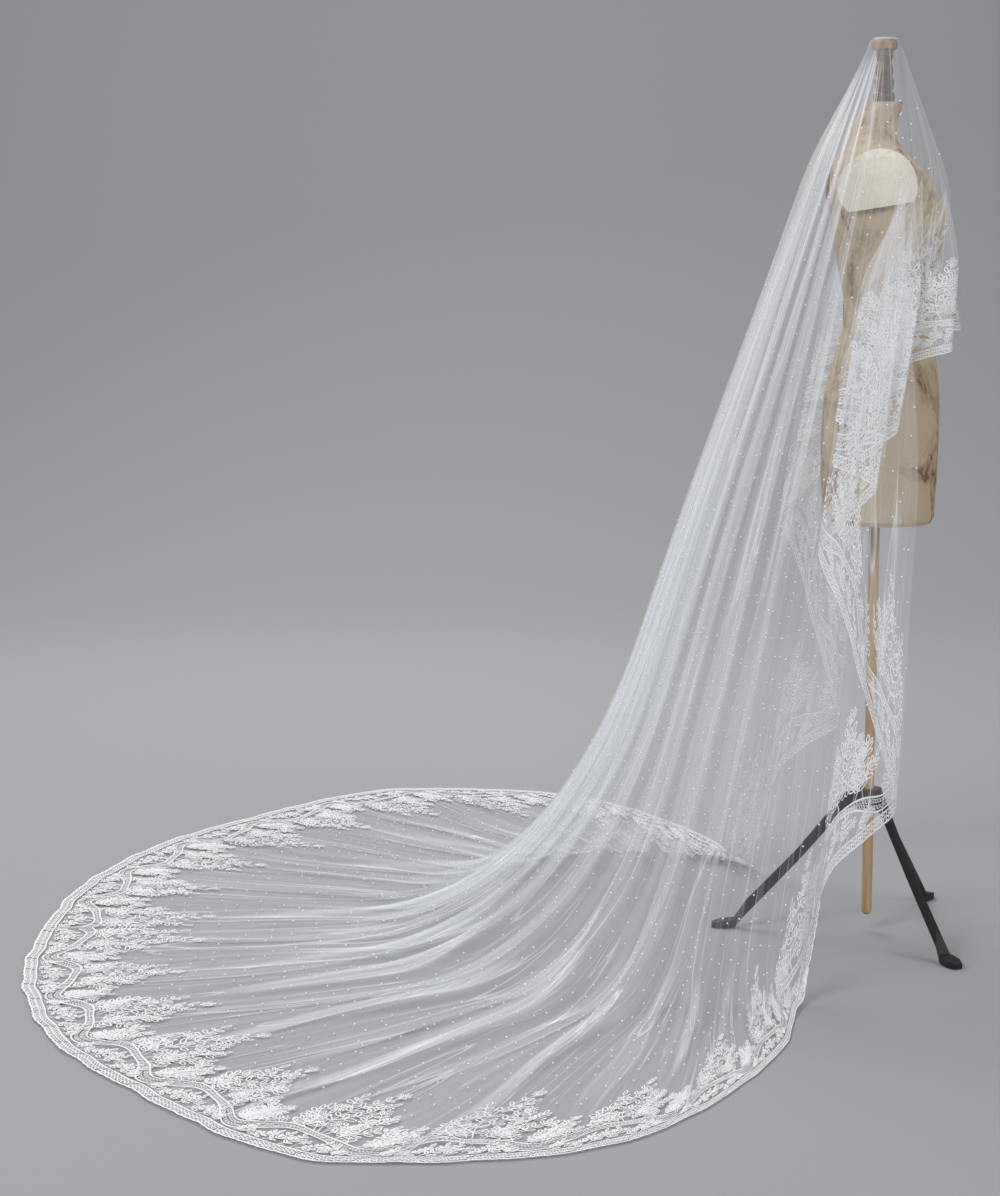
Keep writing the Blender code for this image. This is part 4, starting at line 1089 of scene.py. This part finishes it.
def arm_cap(source, node, material):
    """The padded cap at an arm: an arch above, cut off along a slightly sloping line below."""
    low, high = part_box(node)
    middle = 0.5 * (low[0] + high[0])
    bm = bmesh.new()
    bm.from_mesh(source.data)
    bm.transform(source.matrix_world)
    for vert in bm.verts:
        vert.co.x = middle - CAP_SHIFT + (vert.co.x - middle) * CAP_SPREAD
        vert.co.z = low[2] + (vert.co.z - low[2]) * CAP_RISE
    bmesh.ops.bisect_plane(bm, geom=bm.verts[:] + bm.edges[:] + bm.faces[:],
                           plane_co=(middle, 0.0, low[2] + CAP_CUT), plane_no=(-CAP_SLOPE, 0.0, 1.0),
                           clear_inner=True)
    bmesh.ops.holes_fill(bm, edges=[edge for edge in bm.edges if edge.is_boundary], sides=0)
    bmesh.ops.triangulate(bm, faces=[face for face in bm.faces if len(face.verts) > 4])
    bmesh.ops.recalc_face_normals(bm, faces=bm.faces)
    piece = finish_piece(node + "_cover", bm, material, smooth_shade=False)
    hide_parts(node)


def crown_sheet(material):
    """The flat round of net over the cap, turned down at its edge."""
    bm = bmesh.new()
    bmesh.ops.create_circle(bm, cap_ends=True, segments=64, radius=RIM_RADIUS)
    bmesh.ops.inset_individual(bm, faces=bm.faces[:], thickness=0.003, depth=0.0)
    inner = [f for f in bm.faces if len(f.verts) > 4]
    bmesh.ops.inset_individual(bm, faces=inner, thickness=0.004, depth=0.0)
    for vert in bm.verts:
        reach = math.hypot(vert.co.x, vert.co.y)
        high = CAP_TOP_Z + 0.0010 - (CAP_TOP_Z - RIM_Z) * float(smooth(reach, 0.018, RIM_RADIUS))
        vert.co = (AXIS_X + vert.co.x, vert.co.y, high)
    piece = finish_piece("net_crown", bm, material)
    count = len(piece.data.vertices)
    for label, value in (("crease", 0.5), ("gather", 0.2), ("ridge", 0.0)):
        set_attribute(piece.data, label, np.full(count, value))
    set_uv(piece.data, np.zeros(count), np.zeros(count))
    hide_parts("veil_crown")
    return piece


def studio():
    """A plain pale floor, soft lights and the camera at the photograph's angle."""
    scene = bpy.context.scene
    bm = bmesh.new()
    bmesh.ops.create_grid(bm, x_segments=1, y_segments=80, size=1.0)
    for vert in bm.verts:
        run = (vert.co.y + 1.0) * 0.5 * FLOOR_RUN - FLOOR_FRONT
        bend = min(max((run - SWEEP_FROM) / SWEEP_RADIUS, 0.0), 0.5 * math.pi)
        rise = max(run - SWEEP_FROM - 0.5 * math.pi * SWEEP_RADIUS, 0.0)
        vert.co = (vert.co.x * FLOOR_HALF, min(run, SWEEP_FROM) + SWEEP_RADIUS * math.sin(bend),
                   SWEEP_RADIUS * (1.0 - math.cos(bend)) + rise - FLOOR_DROP)
    floor = add_to_scene(bm, "floor", new_material("pale_floor", FLOOR_COLOUR, 0.9))
    world = bpy.data.worlds.new("studio_air")
    scene.world = world
    world.use_nodes = True
    air = world.node_tree.nodes["Background"]
    air.inputs["Color"].default_value = (*AIR_COLOUR, 1.0)
    air.inputs["Strength"].default_value = 1.0
    for name, place, aim, size, power in (
            ("key", (-2.6, -3.6, 4.4), (0.2, 0.0, 0.5), 2.4, 190.0),
            ("fill", (3.6, -2.8, 2.4), (0.5, 0.0, 0.8), 2.6, 60.0),
            ("back", (-1.0, 3.4, 4.4), (0.0, 0.0, 0.4), 2.2, 90.0),
            ("backdrop", (0.0, 2.2, 6.4), (0.0, 7.0, 1.4), 4.0, 230.0)):
        lamp = bpy.data.lights.new(name, "AREA")
        lamp.energy = power
        lamp.size = size
        light = bpy.data.objects.new(name, lamp)
        light.location = place
        light.rotation_euler = (Vector(aim) - Vector(place)).to_track_quat("-Z", "Y").to_euler()
        scene.collection.objects.link(light)
    camera_data = bpy.data.cameras.new("camera")
    camera_data.lens = CAMERA_LENS
    camera_data.sensor_width = 36.0
    camera = bpy.data.objects.new("camera", camera_data)
    camera.location = (AXIS_X - CAMERA_OFFSET, CAMERA_Y, CAMERA_Z)
    camera.rotation_euler = (math.radians(90.0 - CAMERA_TILT), 0.0, 0.0)
    scene.collection.objects.link(camera)
    scene.camera = camera
    scene.cycles.transparent_max_bounces = 64
    scene.view_settings.view_transform = "Standard"


def main():
    for obj in list(bpy.data.objects):
        bpy.data.objects.remove(obj, do_unlink=True)
    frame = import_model()
    nodes = frame["nodes"]
    dress_frame(nodes)

    net = net_material()
    lace = new_material("white_lace", (0.88, 0.89, 0.90), 0.75)
    bead = new_material("glass_bead", (0.90, 0.91, 0.93), 0.15)
    middle = float(HALF_FOLDS)
    turned_in = float(FIRST_TURN)
    front = middle - 2.0
    full_units = [lace_unit(3, 0.205, True), lace_unit(8, 0.170, True), lace_unit(21, 0.190, True)]
    light_units = [lace_unit(3, 0.190, False), lace_unit(8, 0.150, False)]
    # each strip of the veil: its name, its runs of u, the nodes of net and of lace that it stands
    # for, the lace that it carries and how it is held
    plan = [
        ("back", [(-1, 8.0, 0.0), (1, 0.0, 8.0)],
         ["tulle_back_near", "tulle_back_far", "train_back"], ["lace_back"], full_units, "draped"),
        ("front", [(-1, front, middle), (1, middle, front)],
         ["tulle_front"], ["lace_front"], light_units, "draped"),
    ]
    for side, word in ((-1, "near"), (1, "far")):
        plan.append(("side_" + word, [(side, 8.0, turned_in)], ["tulle_side_" + word, "train_" + word],
                     ["lace_train_" + word, "lace_landing_" + word], full_units, "draped"))
        plan.append(("cascade_" + word, [(side, turned_in, front)], ["tulle_cascade_" + word],
                     ["lace_cascade_" + word], light_units, "gathered"))
    crown = crown_sheet(net)
    for side, word in ((-1, "near"), (1, "far")):
        for strip, first, last in (("back_", 0.0, 8.0), ("side_", 8.0, turned_in),
                                   ("cascade_", turned_in, front), ("front_", front, middle)):
            bead_piece("beads_" + strip + word, side, first, last, bead)
    for word, runs, nodes_taken, lace_taken, units, held in plan:
        sheet = net_sheet("net_" + word, runs, net, nodes_taken)
        cut = flat_cut(runs)
        border = lace_border("lace_border_" + word, runs, units, lace, lace_taken)
    studio()


main()
